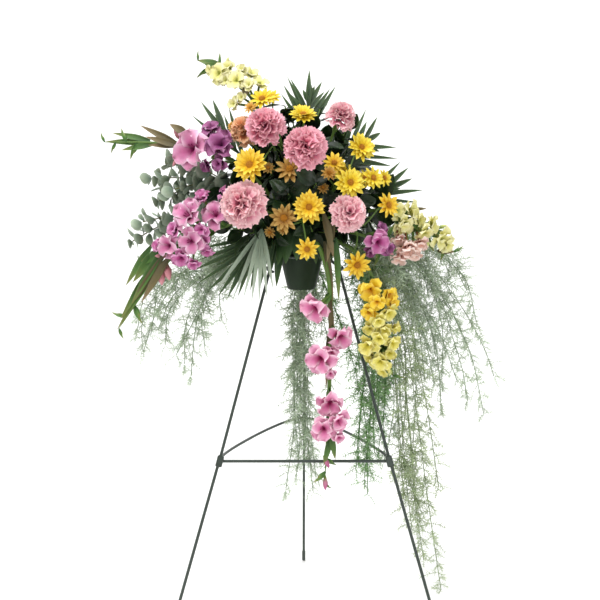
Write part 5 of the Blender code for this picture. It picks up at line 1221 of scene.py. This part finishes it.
# Each fern, in millimetres: its heading, the routes of its strands, a seed, the further strands beside each,
# and how much of each strand is bare
for name, heading, routes, seed, more, bare, finish in (
        ("left", (-0.993, -0.05, -0.1),
         [[(-120, -80, 830), (-220, -60, 760), (-290, -50, 670), (-323, -50, 580)],
          [(-180, -60, 740), (-215, -50, 640), (-228, -50, 531)],
          [(-140, -65, 750), (-168, -50, 700), (-165, -50, 645)],
          [(-190, -60, 740), (-256, -60, 700), (-292, -50, 625)],
          [(-170, -60, 740), (-217, -50, 650), (-257, -50, 574)],
          [(-165, -60, 750), (-204, -50, 665), (-199, -50, 584)],
          [(-200, -60, 735), (-268, -50, 665), (-279, -50, 594)],
          [(-185, -55, 735), (-236, -50, 640), (-240, -50, 556)],
          [(-262, -60, 730), (-297, -55, 693), (-322, -50, 649), (-325, -50, 584)],
          [(-240, -60, 740), (-306, -55, 715), (-324, -50, 675), (-333, -50, 628)],
          [(-230, -60, 740), (-287, -55, 715), (-298, -50, 669), (-307, -50, 616)]], 61, 0, 90, fern_grey),
        ("right_high", (0.927, 0.361, 0.103),
         [[(130, -40, 845), (240, -25, 740), (330, -20, 590), (367, -20, 446)],
          [(225, -25, 825), (290, -20, 765), (327, -20, 701)],
          [(180, -28, 745), (265, -20, 630), (310, -20, 517)],
          [(220, -40, 795), (315, -30, 735), (348, -20, 636)],
          [(160, -60, 790), (186, -60, 646), (191, -60, 525), (188, -60, 422)],
          [(180, -50, 785), (214, -50, 645), (224, -50, 523), (220, -50, 389)],
          [(215, -35, 785), (274, -35, 642), (278, -35, 520)],
          [(160, -50, 780), (195, -40, 704), (232, -35, 632), (250, -30, 576), (263, -30, 510)],
          [(190, -40, 780), (272, -30, 682), (298, -25, 610), (322, -22, 534), (332, -22, 475)],
          [(170, -45, 780), (248, -35, 642), (266, -30, 580), (275, -30, 508), (278, -30, 448)]], 62, 1, 90,
         fern_grey),
        ("right_low", (0.971, 0.123, -0.204),
         [[(110, -70, 790), (190, -75, 650), (220, -85, 480), (245, -90, 300), (275, -100, 102)],
          [(195, -50, 670), (240, -50, 500), (272, -60, 304)],
          [(165, -60, 700), (200, -80, 500), (196, -90, 370), (231, -92, 270)]], 63, 0, 90, fern_olive),
        ("right_tail", (0.971, 0.123, -0.16),
         [[(173, -60, 686), (185, -80, 569), (193, -90, 450), (203, -90, 328), (216, -90, 224)],
          [(166, -60, 666), (181, -80, 529), (190, -90, 409), (199, -90, 286)],
          [(190, -60, 626), (202, -80, 488), (212, -90, 389), (221, -90, 286), (240, -95, 163)]], 66, 1, 440,
         fern_olive),
        ("back", (0.2, 0.95, -0.1),
         [[(6, -20, 815), (30, -8, 740), (85, -10, 600), (122, -80, 440), (126, -95, 300)],
          [(107, -30, 791), (122, -50, 701), (118, -70, 549), (108, -85, 431), (103, -90, 352)],
          [(111, -20, 790), (128, -50, 691), (133, -60, 586), (134, -70, 486), (120, -85, 330)],
          [(90, -10, 780), (158, -60, 586), (161, -65, 485), (147, -75, 375)],
          [(100, -10, 770), (172, -50, 560), (180, -55, 472), (170, -60, 402)],
          [(135, -30, 759), (146, -50, 685), (142, -60, 586), (131, -75, 467), (123, -85, 347)],
          [(143, -30, 759), (158, -50, 665), (163, -60, 565), (159, -65, 465), (160, -75, 360)],
          [(127, -35, 743), (134, -55, 645), (122, -70, 547), (111, -80, 448), (107, -88, 358)]], 64, 1, 90,
         fern_fresh),
        ("middle", (-0.1, 0.95, -0.25),
         [[(-10, -10, 790), (-18, -10, 720), (-24, -15, 600), (-20, -25, 440), (-38, -30, 289)],
          [(-5, -15, 760), (-12, -20, 640), (-22, -25, 500), (-12, -30, 360)],
          [(-1, -15, 757), (9, -20, 620), (7, -25, 497), (15, -30, 394), (24, -30, 314)],
          [(-9, -15, 757), (-3, -20, 579), (3, -30, 456), (1, -30, 348)],
          [(-4, -15, 757), (1, -25, 559), (5, -30, 477), (8, -30, 383), (18, -30, 284)],
          [(-6, -15, 757), (-9, -30, 519), (-1, -30, 415), (16, -30, 331)],
          [(10, -15, 770), (23, -25, 698), (43, -30, 621), (54, -30, 549), (50, -30, 473)],
          [(-6, -15, 757), (-11, -30, 591), (-15, -30, 477), (-9, -30, 394), (-17, -30, 314)]], 65, 0, 90,
         fern_grey)):
    dice = Random(seed)
    lines = forked(heading, routes)
    for line in list(lines):
        for _ in range(more):
            away = Vector((dice.uniform(-0.045, 0.045), dice.uniform(-0.02, 0.03), 0))
            keep = dice.uniform(0.55, 0.92)
            share = [index / (len(line) - 1) for index in range(len(line))]
            lines.append([place + away * part ** 1.3 for place, part in zip(line, share) if part <= keep])
    spray = shooting("asparagus_" + name + "_needles", lines,
                     [feathery(dice.uniform(0.022, 0.040), 6, 0.0165, dice) for _ in range(5)], finish,
                     Bare=bare / 1000, Spacing=0.0125, Per_node=2, Turn=1.3, First_turn=0.0, Lift=0.40,
                     Wobble=0.7, Root_size=1.1, Tip_size=0.70, Vary=0.45, Seed=seed)
    join_root(spray, "asparagus_needle", *([] if name in ("middle", "right_tail") else ["asparagus_" + name]))
    stems("asparagus_" + name + "_stems", [gauged(line, 0.0009) for line in lines], 6, finish)


# Filler: one branched stem of salal, broad leathery leaves that close the gaps between the blooms, and loose
# leaves tucked in round the rim of the pot. They are glossy. The salal's dark green is painted nearly black,
# as painted shade in the gaps between the flowers.
# Salal leaves: dark green painted nearly black, painted shade between the blooms
filler_painted_shade = living("leatherleaf_painted_shade", (0.0, "#101e0e"), (0.5, "#162812"), "#24391b", 0.36, 9.0,
                      0.3)
rim_green = living("leatherleaf_mid_green", (0.0, "#182c14"), (0.5, "#294524"), "#4a6838", 0.4, 12.0, 0.3,
                   0.25)


def broad_half(width, along):
    """Half the width of a broad leaf at this share of its length."""
    return width * max(sin(pi * min(max(along, 0.0), 1.0) ** 0.8) ** 0.75, 0.04)


def broad_leaf(length, width, fold, bend):
    """A broad leaf, folded along its middle, with a wavy edge."""
    def surface(across, along):
        half = broad_half(width, along)
        return Vector((length * along, half * across, fold * half * abs(across) - bend * length * along ** 2
                       + 0.03 * length * sin(across * 3 + along * 7)))
    return blank("broad_leaf", 6, 8, 0.0009, surface)


filler_lines = [smooth_line(planted((0.300, 0.250, 0.900)) + [spot(30, -60, 945), spot(45, -50, 1000)])]
for fork, middle, tip in ((0.035, (-26, -60, 930), (-46, -36, 1000)),
                          (0.040, (45, -100, 890), (110, -88, 925))):
    filler_lines.append(smooth_line([at(filler_lines[0], fork)[0], spot(*middle), spot(*tip)]))
filler_dice = Random(71)
for place in ((-100, -80, 960), (-70, -140, 960), (-60, -170, 900), (-30, -190, 900), (20, -200, 920),
              (40, -180, 880), (100, -150, 880), (90, -150, 950), (30, -130, 1000), (-30, -130, 1000),
              (-130, -120, 900), (120, -120, 850), (60, -170, 830), (-60, -160, 830), (10, -180, 840),
              (80, -90, 1020), (-90, -50, 1010), (130, -100, 920), (0, -20, 960), (-80, 0, 930),
              (80, 0, 930), (0, 10, 880), (-137, -160, 836), (-103, -170, 826), (-65, -160, 822),
              (-140, -90, 943), (-160, -80, 900), (125, -140, 855), (82, -150, 826), (150, -80, 894),
              (30, -60, 1060), (-60, -80, 1030), (0, 40, 960), (-60, 30, 980), (70, 30, 990),
              (-100, 20, 880), (100, 20, 880), (-40, 30, 850), (50, 30, 850), (-38, -60, 1065),
              (-24, -80, 1042)):
    tip = spot(*place)
    start = foam_heart + (tip - foam_heart).normalized() * 0.040
    bend = Vector([filler_dice.uniform(-0.012, 0.012) for _ in range(3)])
    filler_lines.append(smooth_line([start, start.lerp(tip, 0.5) + bend, tip]))
filler = shooting("filler_leaves", filler_lines,
                  [broad_leaf(0.055, filler_dice.uniform(0.015, 0.020), 0.25, filler_dice.uniform(0.0, 0.25))
                   for _ in range(4)], filler_painted_shade, Bare=0.024, Spacing=0.011, Per_node=1, Turn=2.4,
                  First_turn=0.0, Lift=0.55, Wobble=0.4, Root_size=0.9, Tip_size=0.9, Vary=0.2, Seed=71)
join_root(filler, "salal_leaf", "salal")


def hanging_leaf(length, width):
    """A pointed leaf that leaves the foam level, falls over the rim of the pot and hangs down."""
    steps = 40
    fall = [(0.0, 0.0)]
    for step in range(steps):
        slope = 0.15 - 1.60 * (1 - exp(-length * step / steps / 0.016))
        fall.append((fall[-1][0] + length / steps * cos(slope), fall[-1][1] + length / steps * sin(slope)))

    def surface(across, along):
        share = min(max(along, 0.0), 1.0)
        half = broad_half(width, along)
        index = min(int(share * steps), steps - 1)
        rest = along * steps - index
        (out_low, down_low), (out_high, down_high) = fall[index], fall[index + 1]
        return Vector((out_low + (out_high - out_low) * rest - 0.25 * half * abs(across), half * across,
                       down_low + (down_high - down_low) * rest))
    return blank("hanging_leaf", 6, 10, 0.0009, surface)


rim_leaves, rim_count = [], 22
for index in range(rim_count):
    turn = 2 * pi * (index + filler_dice.uniform(-0.3, 0.3)) / rim_count
    out_of_foam = Vector((cos(turn), sin(turn), 0))
    leaf = hanging_leaf(filler_dice.uniform(0.050, 0.084), filler_dice.uniform(0.010, 0.015))
    root = foam_heart + out_of_foam * 0.043 + Vector((0, 0, filler_dice.uniform(-0.014, 0.002)))
    leaf.transform(aimed(root, out_of_foam, Vector((0, 0, 1))))
    rim_leaves.append(leaf)
for start, tip in ((spot(-45, -130, 811), spot(-55, -140, 722)),
                   (spot(-61, -120, 810), spot(-66, -130, 746))):
    rim_leaves.append(blade(start, tip, 0.0095, 0.35, 0.05, (-0.2, -1, 0.2)))
join_root(gather("rim_leaves", rim_leaves, rim_green), "salal_leaf")
stems("filler_twigs", [gauged(line, 0.0014) for line in filler_lines], 6, stem_green)
